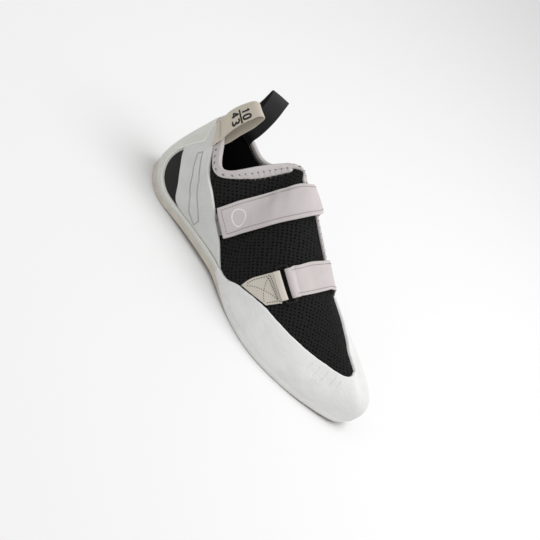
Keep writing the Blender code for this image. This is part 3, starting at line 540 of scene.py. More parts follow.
def place(a, b):
    """Turns a place that may cross the crest into q and t."""
    q, t = girth_place(a, b)
    return np.where(t < b, q, np.mod(q, 2.0)), t


def normal_at(q, t):
    """Skin normal that runs smoothly over the crest."""
    share = 0.5 * smooth((t - 0.95) / 0.05) * smooth((station(q) - COLLAR_END) / 0.02)
    share = share[..., None]
    return unit(skin_normal(q, t) * (1.0 - share) + skin_normal(2.0 - q, t) * share)


def skin(q, t, lift=0.0):
    """A point on the skin, lifted off along its normal."""
    q, t, lift = np.broadcast_arrays(*[np.asarray(part, float) for part in (q, t, lift)])
    return rib_point(q, t) + normal_at(q, t) * lift[..., None]


def over(a, b, lift=0.0):
    """As skin, for places that may cross the crest."""
    return skin(*place(a, b), lift)


def curve_through(rows, count):
    """Even steps along a smooth line through rows of places and values."""
    rows = np.array(rows, float)
    knots = run_length(over(rows[:, 0], rows[:, 1]))
    return spline(knots, rows)(np.linspace(0.0, knots[-1], count))


def distance_to(points, line):
    """Distance of each point to the nearest of a line's points."""
    flat = points.reshape(-1, 3)
    block = 2000
    found = []
    for start in range(0, len(flat), block):
        apart = flat[start : start + block, None, :] - line[None, :, :]
        found.append(np.sqrt((apart**2).sum(-1).min(axis=1)))
    return np.concatenate(found).reshape(points.shape[:-1])


def graded(total, first, growth, last):
    """Distances from 0 to total that start fine and grow to an even step."""
    steps = [0.0]
    step = first
    while steps[-1] + step < total:
        steps.append(steps[-1] + step)
        step = min(step * growth, last)
    return np.array([*steps, total])


def quads(rows, columns, keep=None, closed=False):
    """Faces of a grid. closed joins the last column to the first."""
    faces = []
    for i in range(rows - 1):
        here, there = i * columns, (i + 1) * columns
        for j in range(columns if closed else columns - 1):
            if keep is None or keep[i, j]:
                k = (j + 1) % columns
                faces.append((here + j, there + j, there + k, here + k))
    return faces


def add_object(name, data):
    """Puts a mesh, a lamp or the camera into the scene."""
    made = bpy.data.objects.new(name, data)
    bpy.context.scene.collection.objects.link(made)
    return made


def add_piece(name, points, faces, surface, slot, nodes=(), lay=None, edge=None, weld=False, mark=None):
    """Makes one piece of points and faces, with its surface coordinates."""
    points = np.asarray(points, float).reshape(-1, 3) + SHIFT
    mesh = bpy.data.meshes.new(name)
    mesh.from_pydata(points.tolist(), [], faces)
    carried = {"lay": points if lay is None else lay, "edge": edge, "mark": mark}
    for key, values in carried.items():
        if values is not None:
            kind, field = ("FLOAT_VECTOR", "vector") if key == "lay" else ("FLOAT", "value")
            layer = mesh.attributes.new(key, kind, "POINT")
            layer.data.foreach_set(field, np.asarray(values, float).reshape(-1))
    body = bmesh.new()
    body.from_mesh(mesh)
    if weld:
        bmesh.ops.remove_doubles(body, verts=body.verts, dist=WELD)
    alone = [vertex for vertex in body.verts if not vertex.link_faces]
    bmesh.ops.delete(body, geom=alone, context="VERTS")
    body.to_mesh(mesh)
    body.free()
    mesh.shade_smooth()
    mesh.materials.append(surface)
    made = add_object(name, mesh)
    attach(made, "root")
    for node in nodes:
        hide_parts(node)
    return made


def turn_outward(made):
    """Closes a body's seams and turns its faces outward."""
    body = bmesh.new()
    body.from_mesh(made.data)
    bmesh.ops.remove_doubles(body, verts=body.verts, dist=WELD / 2.0)
    bmesh.ops.recalc_face_normals(body, faces=body.faces)
    body.to_mesh(made.data)
    body.free()


def add_grid(name, grid, *rest, closed=False, **more):
    """Makes one piece of a grid of points, or a body of closed sections."""
    made = add_piece(name, grid, quads(*grid.shape[:2], closed=closed), *rest, **more)
    if closed:
        turn_outward(made)
    return made


class Nodes:
    """Short calls for the nodes of one material."""

    def __init__(self, name):
        self.material = bpy.data.materials.new(name)
        self.material.use_nodes = True
        self.tree = self.material.node_tree
        self.shader = self.tree.nodes["Principled BSDF"]

    def link(self, value, socket):
        """Sets a socket to a value or joins it to another socket."""
        if isinstance(value, bpy.types.NodeSocket):
            self.tree.links.new(value, socket)
        else:
            socket.default_value = (*value, 1.0) if socket.type == "RGBA" else value

    def add(self, kind, result, inputs, **settings):
        """Adds one node and returns one of its outputs."""
        made = self.tree.nodes.new("ShaderNode" + kind)
        for name, value in settings.items():
            setattr(made, name, value)
        for name, value in inputs.items():
            self.link(value, made.inputs[name])
        return made.outputs[result]

    def lay(self, name="lay"):
        """Reads a coordinate that the piece carries."""
        return self.add("Attribute", "Vector" if name == "lay" else "Fac", {}, attribute_name=name)

    def scaled(self, vector, scale, turn=0.0):
        """Stretches and turns a coordinate."""
        return self.add("Mapping", 0, {"Vector": vector, "Scale": scale, "Rotation": (0.0, 0.0, turn)})

    def noise(self, vector, scale, detail=2.0, rough=0.5):
        """Cloudy noise, 0 to 1."""
        inputs = {"Vector": vector, "Scale": scale, "Detail": detail, "Roughness": rough}
        return self.add("TexNoise", "Fac", inputs)

    def cells(self, vector, scale, even):
        """Distance to the middle of the nearest cell."""
        return self.add("TexVoronoi", "Distance", {"Vector": vector, "Scale": scale, "Randomness": even})

    def ribs(self, vector, scale, across, wobble):
        """Even waves along one axis, 0 to 1."""
        inputs = {"Vector": vector, "Scale": scale, "Distortion": wobble, "Detail Scale": 2.0}
        return self.add("TexWave", "Fac", inputs, bands_direction=across)

    def math(self, kind, first, second=0.0):
        """One arithmetic step."""
        return self.add("Math", 0, {0: first, 1: second}, operation=kind)

    def spread(self, value, low, high, to_low=0.0, to_high=1.0):
        """Maps a range softly to another."""
        inputs = {"Value": value, "From Min": low, "From Max": high, "To Min": to_low, "To Max": to_high}
        return self.add("MapRange", "Result", inputs, interpolation_type="SMOOTHSTEP")

    def mix(self, share, first, second):
        """Mixes two colours."""
        return self.add("Mix", 2, {0: share, 6: first, 7: second}, data_type="RGBA")

    def bump(self, height, depth, before=None):
        """Relief from a height of 0 to 1, depth in metres."""
        inputs = {"Height": height, "Distance": depth}
        if before is not None:
            inputs["Normal"] = before
        return self.add("Bump", "Normal", inputs)

    def done(self, colour, rough, normal=None, specular=0.5, sheen=0.0, sheen_rough=0.5):
        """Joins the results to the shader."""
        self.shader.inputs["Specular IOR Level"].default_value = specular
        self.shader.inputs["Sheen Weight"].default_value = sheen
        self.shader.inputs["Sheen Roughness"].default_value = sheen_rough
        self.link(colour, self.shader.inputs["Base Color"])
        self.link(rough, self.shader.inputs["Roughness"])
        if normal is not None:
            self.link(normal, self.shader.inputs["Normal"])
        return self.material


def shade(colour, factor):
    """A lighter or darker colour."""
    return tuple(part * factor for part in colour)


def rubber_surface(name, colour, streak, turn=0.0, pressed=False):
    """Buffed climbing rubber: fine brushed streaks, dusty grain, cut edges lightened as a painted
    highlight.
    """
    n = Nodes(name)
    lay = n.lay()
    cloud = n.noise(lay, 55.0, 3.0)
    fine = n.noise(n.scaled(lay, (90.0, 1500.0, 400.0), turn), 1.0, 3.0, 0.6)
    dust = n.spread(n.noise(lay, 420.0, 4.0, 0.7), 0.42, 0.75)
    base = n.mix(n.spread(cloud, 0.3, 0.7), shade(colour, 0.95), shade(colour, 1.04))
    base = n.mix(n.math("MULTIPLY", n.spread(fine, 0.35, 0.7), streak), base, shade(colour, 1.22))
    base = n.mix(n.math("MULTIPLY", dust, 0.1), base, shade(colour, 1.25))
    # Painted highlight: the cut edges are lightened along their rounded rim.
    cut = n.math("MULTIPLY", n.lay("edge"), n.spread(fine, 0.2, 0.7, 0.35, 0.75))
    base = n.mix(cut, base, tuple(min(0.86, part * 1.35) for part in colour))
    normal = n.bump(fine, 0.0001, n.bump(n.noise(lay, 2600.0), 0.00006))
    if pressed:
        # Painted shade: the pressed frame's groove is darkened as if shadowed, on top of its bump.
        line = n.spread(n.math("ABSOLUTE", n.lay("mark")), 0.0001, 0.0007, 1.0, 0.0)
        base = n.mix(n.math("MULTIPLY", line, 0.62), base, shade(colour, 0.42))
        normal = n.bump(n.math("SUBTRACT", 1.0, line), 0.0004, normal)
    return n.done(base, n.spread(cloud, 0.3, 0.7, 0.5, 0.62), normal, 0.35)


def mesh_surface():
    """Black knitted mesh, perforated on the vamp and plain elsewhere; the plain parts are lightened as
    painted light against the shade they lie in.
    """
    n = Nodes("black_mesh")
    lay = n.lay()
    level = (1.0, 1.0, 0.0)
    dots = n.cells(n.scaled(lay, level, math.radians(45.0)), 1.0 / HOLE_PITCH, 0.22)
    hole = n.math("MULTIPLY", n.spread(dots, 0.2, 0.33, 1.0, 0.0), n.lay("edge"))
    flat = n.scaled(lay, level)
    yarn = n.math("MULTIPLY", n.ribs(flat, 330.0, "Y", 1.5), n.ribs(flat, 420.0, "X", 1.0))
    lint = n.noise(lay, 900.0, 3.0, 0.6)
    base = n.mix(n.spread(yarn, 0.0, 0.9), (0.01, 0.0099, 0.0098), (0.026, 0.0257, 0.0252))
    base = n.mix(n.spread(lint, 0.45, 0.8, 0.0, 0.35), base, (0.038, 0.0375, 0.037))
    base = n.mix(hole, base, (0.0006, 0.0006, 0.0006))
    # Painted light: where there are no holes, over the heel window and the rear, the mesh is lightened
    # to offset the shade there.
    base = n.mix(n.spread(n.lay("edge"), 0.0, 1.0, 0.45, 0.0), base, (0.045, 0.045, 0.044))
    normal = n.bump(n.math("SUBTRACT", 1.0, hole), 0.00035, n.bump(yarn, 0.00012))
    return n.done(base, 0.82, normal, 0.05, 0.01)


def lining_surface(name, colour):
    """Brushed lining cloth."""
    n = Nodes(name)
    nap = n.noise(n.lay(), 1400.0, 3.0, 0.65)
    base = n.mix(nap, shade(colour, 0.7), shade(colour, 1.4))
    return n.done(base, 0.95, n.bump(nap, 0.00012), 0.12)


def suede_surface(name, colour):
    """Microfibre suede with a fine nap and faint cloudy marks."""
    n = Nodes(name)
    lay = n.lay()
    nap = n.noise(lay, 1500.0, 4.0, 0.7)
    cloud = n.noise(lay, 95.0, 3.0)
    brushed = n.noise(n.scaled(lay, (260.0, 900.0, 500.0)), 1.0)
    base = n.mix(n.spread(nap, 0.25, 0.75), shade(colour, 0.9), shade(colour, 1.07))
    base = n.mix(n.spread(cloud, 0.35, 0.75, 0.0, 0.45), base, shade(colour, 0.86))
    base = n.mix(n.spread(brushed, 0.55, 0.85, 0.0, 0.3), base, shade(colour, 1.12))
    base = n.mix(n.math("MULTIPLY", n.lay("edge"), 0.45), base, shade(colour, 0.8))
    normal = n.bump(cloud, 0.00025, n.bump(nap, 0.00008))
    return n.done(base, 0.86, normal, 0.2, 0.18, 0.4)


def webbing_surface(name, colour, gloss, pick=760.0):
    """Woven tape: fine cross ribs with yarns along it."""
    n = Nodes(name)
    lay = n.lay()
    weft = n.math("MULTIPLY", n.ribs(lay, pick, "X", 0.6), 0.65)
    warp = n.math("MULTIPLY", n.ribs(lay, pick * 1.2, "Y", 0.8), 0.35)
    weave = n.math("ADD", weft, warp)
    base = n.mix(weave, shade(colour, 0.78), shade(colour, 1.12))
    base = n.mix(n.spread(n.noise(lay, 130.0, 3.0), 0.4, 0.8, 0.0, 0.25), base, shade(colour, 0.82))
    return n.done(base, gloss, n.bump(weave, 0.0001), 0.3)


def thread_surface(name, colour):
    """Twisted sewing thread."""
    n = Nodes(name)
    twist = n.ribs(n.scaled(n.lay(), (1.0, 1.0, 1.0), 0.7), 900.0, "X", 0.5)
    base = n.mix(twist, shade(colour, 0.8), shade(colour, 1.1))
    return n.done(base, 0.6, n.bump(twist, 0.00005), 0.35)


def print_surface(name, colour):
    """Screen print with the cloth's grain showing through."""
    n = Nodes(name)
    grain = n.noise(n.lay(), 1500.0)
    base = n.mix(n.spread(grain, 0.35, 0.75, 0.0, 0.5), colour, shade(colour, 0.75))
    return n.done(base, 0.6, n.bump(grain, 0.00004), 0.3)


def sole_surface():
    """Tan sole rubber with the marks of the trimming wheel."""
    n = Nodes("sole_rubber")
    lay = n.lay()
    streaks = n.noise(n.scaled(lay, (60.0, 60.0, 1900.0)), 1.0, 3.0, 0.6)
    cloud = n.spread(n.noise(lay, 80.0, 3.0), 0.3, 0.7)
    base = n.mix(cloud, shade(SOLE_COLOUR, 0.92), shade(SOLE_COLOUR, 1.06))
    base = n.mix(n.spread(streaks, 0.45, 0.8, 0.0, 0.5), base, shade(SOLE_COLOUR, 1.25))
    return n.done(base, 0.6, n.bump(streaks, 0.00015), 0.3)


def plastic_surface():
    """Smooth moulded black plastic."""
    n = Nodes("black_plastic")
    grain = n.noise(n.lay(), 1800.0)
    base = n.mix(grain, (0.003, 0.003, 0.003), (0.006, 0.006, 0.006))
    return n.done(base, n.spread(grain, 0.3, 0.7, 0.4, 0.5), n.bump(grain, 0.00002), 0.25)


def pile_surface():
    """Dark looped pile."""
    n = Nodes("grey_pile")
    fuzz = n.noise(n.lay(), 1300.0, 4.0, 0.8)
    base = n.mix(n.spread(fuzz, 0.3, 0.62), (0.03, 0.029, 0.028), (0.42, 0.4, 0.395))
    return n.done(base, 0.95, n.bump(fuzz, 0.00035), sheen=0.3, sheen_rough=0.6)


def mirrored(line, medial):
    """A line of places, moved to the medial side if asked."""
    return line * (-1.0, 1.0) + (2.0, 0.0) if medial else line


def toe_round(q, height):
    """How far the lower edge draws in under toe and heel, at heights above the underside."""
    u = station(q)
    amount = TOE_ROUND * smooth((u - TOE_ROUND_START) / TOE_ROUND_RUN)
    amount = amount + HEEL_ROUND * (1.0 - smooth(u / HEEL_ROUND_RUN))
    return outward(q) * (amount * clamp01(1.0 - height / SOLE))[..., None]


def skirt_rows(q, bottom):
    """Where a rubber piece laps down over the side of the sole."""
    rows = []
    for inset, up in [(0.0004, 0.0), (0.0001, 0.0002), (-0.0001, 0.0006), (-0.00015, 0.0012)]:
        edge = inset_edge(q, inset, 0.0) - toe_round(q, bottom + up)
        edge[..., 2] += bottom + up
        rows.append(edge)
    rows.append(inset_edge(q, -0.0001, SOLE - 0.0003))
    return np.stack(rows, axis=1)


def rubber_patch(name, node, q, t, free, radius, surface, base=0.0, extra=0.0, bottom=None, mark=None):
    """A rubber overlay on a grid of places, rounded down to the skin at its free edges."""
    bare = skin(q, t)
    away = np.full(q.shape, 1.0)
    for line in free:
        away = np.minimum(away, distance_to(bare, skin(*line.T)))
    round_off = np.sqrt(clamp01(1.0 - (1.0 - clamp01(away / radius)) ** 2))
    points = skin(q, t, base + (SEAT + RAND + extra - base) * round_off)
    # edge marks the rounded rim; the rubber surfaces lighten it as a painted highlight.
    edge = 1.0 - smooth((away - 0.0004) / 0.0011)
    along = np.median(run_length(bare), axis=1)
    lay = np.stack([np.repeat(along[:, None], q.shape[1], 1), t * rib_length(q), away], -1)
    if bottom is not None:
        skirt = skirt_rows(q[:, 0], bottom)
        below = skirt.shape[1]
        points = np.concatenate([skirt, points], axis=1)
        lay = np.concatenate([np.repeat(lay[:, :1], below, 1), lay], axis=1)
        lay[:, :below, 1] -= np.linspace(0.005, 0.0003, below)
        edge = np.pad(edge, ((0, 0), (below, 0)))
        edge[:, 0] = 0.5
    return add_grid(name, points, surface, "grey_rubber", [node], lay, edge, weld=True, mark=mark)


def rand_edge(table, u, wave):
    """Height of the rand's hand-cut edge at stations u."""
    rows = np.array(table)
    height = clamp01(spline(rows[:, 0], rows[:, 1:])(np.minimum(u, rows[-1, 0]))[:, 0])
    return np.where(u < RAND_CLOSED, np.minimum(height + wave, 0.9995), 1.0)


def make_toe_rand(surface):
    """The rand round toe and forefoot."""
    first = TOE_RAND_LATERAL[0][0]
    parts = [(first, 0.70, 120), (0.7014, 0.88, 130), (0.8812, 1.0, 80)]
    u = np.concatenate([np.linspace(*part) for part in parts])
    wave = 0.0009 * np.sin(u * 140.0) + 0.0007 * np.sin(u * 317.0 + 1.3)
    lateral = rand_edge(TOE_RAND_LATERAL, u, wave)
    medial = rand_edge(TOE_RAND_MEDIAL, u, wave[::-1])
    q = np.concatenate([u, 2.0 - u[-2::-1]])
    top = np.concatenate([lateral, medial[-2::-1]])
    t = top[:, None] * (1.0 - graded(1.0, 0.0022, 1.3, 0.016)[::-1])
    grid = np.repeat(q[:, None], t.shape[1], axis=1)
    open_part = u < RAND_CLOSED
    free = [
        mirrored(np.stack([u, line], 1)[open_part], line is medial) for line in (lateral, medial)
    ]
    groove = np.zeros_like(t)
    bare = skin(grid, t)
    for ends in GROOVES:
        line = skin(*np.linspace(*ends, 30).T)
        groove += swell(distance_to(bare, line), 0.00062, -0.00058)
    groove += 0.0003 * (1.0 - smooth((station(grid) - first - 0.002) / 0.004))
    flat = smooth((station(q) - 0.44) / 0.10)
    bottom = RAND_SKIRT_ARCH + (RAND_SKIRT_TOE - RAND_SKIRT_ARCH) * flat
    rubber_patch(
        "toe_rand_rubber", "toe_rand", grid, t, free, RAND_EDGE, surface, extra=groove, bottom=bottom
    )


def place_steps(q, t, across, turned):
    """Steps of q and t for one metre across, turned where places run backwards."""
    by_q = (skin(q + FINE_STEP, t) - skin(q - FINE_STEP, t)) / (2.0 * FINE_STEP) * turned
    by_t = (skin(q, t + FINE_STEP) - skin(q, t - FINE_STEP)) / (2.0 * FINE_STEP) * turned
    qq, qt, tt = (by_q * by_q).sum(-1), (by_q * by_t).sum(-1), (by_t * by_t).sum(-1)
    first, second = (by_q * across).sum(-1), (by_t * across).sum(-1)
    scale = qq * tt - qt * qt
    return (tt * first - qt * second) / scale, (qq * second - qt * first) / scale


def offset_rows(line, distances, side):
    """Lines beside a line of places, at distances measured on the skin."""
    across = np.cross(unit(np.gradient(skin(*line.T), axis=0)), normal_at(*line.T)) * side
    steps = place_steps(*line.T, across, 1.0)
    return [start[:, None] + step[:, None] * distances for start, step in zip(line.T, steps)]


def make_heel_cup(surface):
    """The heel cup: a lobe over the band, a window behind it, strips along the arch."""
    rows = curve_through(HEEL_CUP_EDGE, 330)
    top = rows[:, :2]
    q_low = np.maximum.accumulate(rows[:, 2])
    q_near, t_near = offset_rows(top, graded(0.0016, 0.00012, 1.4, 0.0003), 1.0)
    t_near = clamp01(t_near)
    part = np.linspace(0.0, 1.0, 26)[1:]
    q_rest = q_near[:, -1:] + (q_low[:, None] - q_near[:, -1:]) * part
    q = np.concatenate([q_near, q_rest], axis=1)[:, ::-1]
    t = np.concatenate([t_near, t_near[:, -1:] * (1.0 - part)], axis=1)[:, ::-1]
    q = np.concatenate([-q[:0:-1], q])
    t = np.concatenate([t[:0:-1], t])
    edge = np.concatenate([top[:0:-1] * (-1.0, 1.0), top])
    lobe = smooth((t - 0.50) / 0.10) * smooth((np.abs(q) - 0.075) / 0.045)
    on_band = (SEAT + RAND - 0.0002) * smooth((t - 0.50) / 0.05) * smooth((np.abs(q) - 0.10) / 0.01)
    edge[:, 0] = np.mod(edge[:, 0], 2.0)
    rubber_patch(
        "heel_cup_rubber", "heel_cup", np.mod(q, 2.0), t, [edge], CUP_EDGE, surface,
        base=on_band, extra=lobe * 0.0008, bottom=CUP_SKIRT,
    )


def inside(q, t, corners):
    """Whether places lie inside a polygon of places."""
    found = np.zeros(q.shape, bool)
    for k, (q_end, t_end) in enumerate(corners):
        q_start, t_start = corners[k - 1]
        run = (t - t_start) / (t_end - t_start + 1e-12)
        found ^= ((t_start > t) != (t_end > t)) & (q < q_start + run * (q_end - q_start))
    return found


def make_slingshot(name, medial, surface):
    """The tensioned band from heel top to arch, with a soft ridge down it."""
    rows = np.array(SLINGSHOT_EDGES)
    high = curve_through(rows[:, :2], 300)
    chord = run_length(skin(rows[:, 0], rows[:, 1]))
    low = spline(chord / chord[-1], rows[:, 2:])(np.linspace(0.0, 1.0, 300))
    width = np.linalg.norm(skin(*high.T) - skin(*low.T), axis=-1)
    squeeze = np.clip(width / 0.004, 0.02, 1.0)[:, None]
    beside = []
    for line, side in ((low, -1.0), (high, 1.0)):
        start = line.T[..., None]
        rim = np.stack(offset_rows(line, graded(0.0018, 0.00012, 1.4, 0.0003), side))
        beside.append(start + (rim - start) * squeeze)
    first, last = beside[0][..., -1:], beside[1][..., -1:]
    rest = first + (last - first) * np.linspace(0.0, 1.0, 90)[1:-1]
    q, t = np.concatenate([beside[0], rest, beside[1][..., ::-1]], axis=-1)
    bare = skin(q, t)
    extra = 0.0
    for table, reach, height in ((BAND_RIDGE, 0.0019, 0.00055), (BAND_HOLLOW, 0.0032, -0.00045)):
        line = skin(*curve_through(table, 120).T)
        extra = extra + swell(distance_to(bare, line), reach, height)
    corners = np.array(BAND_FRAME)
    sides = zip(np.roll(corners, 1, 0), corners)
    outline = np.concatenate([np.linspace(*ends, 160, endpoint=False) for ends in sides])
    mark = distance_to(bare, skin(*outline.T))
    mark = np.where(inside(q, t, BAND_FRAME), -mark, mark)
    free = [mirrored(line, medial) for line in (high, low)]
    node = "slingshot_medial" if medial else "slingshot_lateral"
    q = 2.0 - q if medial else q
    rubber_patch(name, node, q, t, free, BAND_EDGE, surface, extra=extra, mark=mark)


def throat_half(u):
    """Half the throat's opening as height up the rib."""
    opening = smooth((u - THROAT_START) / (COLLAR_END - THROAT_START))
    closing = clamp01((THROAT_END - u) / (THROAT_END - COLLAR_END))
    return THROAT_OPENING * opening * closing**0.35 / 2.0 / rib_length(2.0 - u)


def tape_path():
    """The one tape: lower throat edge, medial collar, heel, lateral collar, flap edge."""
    front = np.linspace(TAPE_END, TAPE_FRONT, 14)
    back = front[::-1][1:]
    lower = zip(-front, THROAT_SPLIT - throat_half(front))
    flap = zip(back, 2.0 - THROAT_SPLIT - throat_half(back))
    medial = [(-u, 1.0) for u in np.linspace(TAPE_REAR, 0.0, 16)]
    lateral = [(u, 1.0) for u in np.linspace(0.0225, 0.398, 16)]
    path = curve_through([*lower, *THROAT_CORNER, *medial, *lateral, *FLAP_CORNER, *flap], 900)
    on_collar = path[:, 0] < FLAP_CORNER[0][0] + 0.002
    path[:, 1] = np.where(on_collar, np.minimum(path[:, 1], 1.0), path[:, 1])
    return path


def leg_width(path):
    """How far the tape laps over the upper, along its path."""
    a, b = path.T
    u = np.abs(a)
    width = BINDING_LEG
    parts = [
        (1.0 - smooth((u - 0.12) / 0.10), BINDING_LEG_HEEL),
        (smooth((u - 0.345) / 0.03), BINDING_LEG_CORNER),
        (smooth((b - 1.02) / 0.04), BINDING_LEG_THROAT * 0.75),
        (smooth((0.90 - b) / 0.05) * (a < 0.0), BINDING_LEG_THROAT),
    ]
    for share, there in parts:
        width = width + (there - width) * share
    return width * (0.35 + 0.65 * smooth((TAPE_END - u) / 0.06))


def make_tape(surface, thread, dark):
    """The binding tape with its zigzag stitches."""
    path = tape_path()
    width = leg_width(path)
    point = over(*path.T)
    q, t = place(*path.T)
    normal = normal_at(q, t)
    inward = unit(np.cross(unit(np.gradient(point, axis=0)), normal))
    turned = np.where(path[:, 1] > 1.0, -1.0, 1.0)[:, None]
    steps = place_steps(q, np.minimum(t, 1.0 - 2.0 * FINE_STEP), inward, turned)
    steps = np.stack(steps, 1) * width[:, None]
    high = SEAT + BINDING
    low = -WALL - SEAT - BINDING

    def on_leg(share, lift, at=slice(None)):
        return over(*(path[at] + steps[at] * np.reshape(share, (-1, 1))).T, lift)

    rings = [on_leg(1.0, 0.0001), on_leg(1.0, high * 0.55), on_leg(0.975, high * 0.9)]
    for share in (0.93, 0.8, 0.62, 0.42, 0.2):
        rings.append(on_leg(share, high + 0.00012 * math.sin(share * 9.0)))
    for angle in np.linspace(0.0, math.pi, 13):
        fold = (high + low) / 2.0 + (high - low) / 2.0 * math.cos(angle)
        rings.append(point - inward * (high * abs(math.sin(angle)) ** 0.7) + normal * fold)
    rings += [on_leg(share, low) for share in (0.1, 0.22, 0.34)]
    rings.append(on_leg(0.36, -WALL - 0.0001))
    grid = np.stack(rings, axis=1)
    length = run_length(point)
    lay = np.zeros_like(grid)
    lay[..., 0] = length[:, None]
    lay[..., 1] = run_length(grid, axis=1)
    nodes = ["collar_binding", "throat_binding_lower", "throat_binding_upper"]
    add_grid("collar_tape", grid, surface, "mauve_tape", nodes, lay)
    count = int(length[-1] / ZIGZAG_PITCH)
    at = np.interp(np.linspace(0.0, length[-1], count), length, np.arange(len(length)))
    at = np.round(at).astype(int)
    on_edge = np.arange(count) % 2 == 0
    share = np.where(on_edge, 1.1, 0.55)
    marks = on_leg(share, np.where(on_edge, 0.0003, high + 0.0001), at)
    across = on_leg(share * 0.9, high + 0.00012, at)
    out = normal[at]
    add_stitches("collar_zigzag", marks[:-1], across[1:], out[:-1], 0.0002, thread, "mauve_tape")
    inner = np.arange(1, count - 1, 2)
    run = (marks[inner + 1] - marks[inner - 1]) * 0.1 + inward[at[inner]] * 0.0005
    start, end = marks[inner] - run, marks[inner] + run
    add_stitches("collar_needle_marks", start, end, out[inner], 0.00036, dark, "mauve_tape", 0.0001)
    row = on_leg(0.62, -WALL - 0.0005, slice(None, None, 6))
    seam = stitch_run(row, -normal[::6], INNER_SEAM_PITCH, 0.62)
    add_stitches("collar_inner_seam", *seam, 0.0003, thread, "mauve_tape")


def add_stitches(name, start, end, normal, radius, surface, slot, dip=0.0002):
    """Short thread stitches from start to end points, bowed off the surface."""
    parts = np.array([0.0, 0.12, 0.35, 0.65, 0.88, 1.0])
    thick = np.array([0.45, 0.95, 1.0, 1.0, 0.95, 0.45]) * radius
    sides = 6
    run = end - start
    length = np.linalg.norm(run, axis=-1, keepdims=True)
    run = run / np.maximum(length, 1e-9)
    out = unit(normal - (normal * run).sum(-1, keepdims=True) * run)
    side = np.cross(run, out)
    rise = np.sin(np.pi * parts) ** 0.5 * dip * 1.3 - dip
    centre = start[:, None] + (end - start)[:, None] * parts[:, None] + out[:, None] * rise[:, None]
    turn = np.linspace(0.0, math.tau, sides, endpoint=False)
    ring = out[:, None, :] * np.cos(turn)[:, None] + side[:, None, :] * np.sin(turn)[:, None]
    points = centre[:, :, None, :] + ring[:, None, :, :] * thick[None, :, None, None]
    size = len(parts) * sides
    one = quads(len(parts), sides, closed=True)
    one += [tuple(range(sides)), tuple(reversed(range(size - sides, size)))]
    faces = [tuple(k * size + i for i in face) for k in range(len(start)) for face in one]
    lay = np.zeros_like(points)
    lay[..., 0] = (length * parts)[..., None]
    lay[..., 1] = turn * radius
    return add_piece(name, points, faces, surface, slot, lay=lay)


def stitch_run(line, normal, pitch, fill):
    """Start and end points of even stitches along a line, and their normals."""
    length = run_length(line)
    count = max(1, int(round(length[-1] / pitch)))
    pitch = length[-1] / count
    start = (np.arange(count) + (1.0 - fill) / 2.0) * pitch

    def at(values, where):
        return np.stack([np.interp(where, length, column) for column in values.T], -1)

    return at(line, start), at(line, start + fill * pitch), at(normal, start)


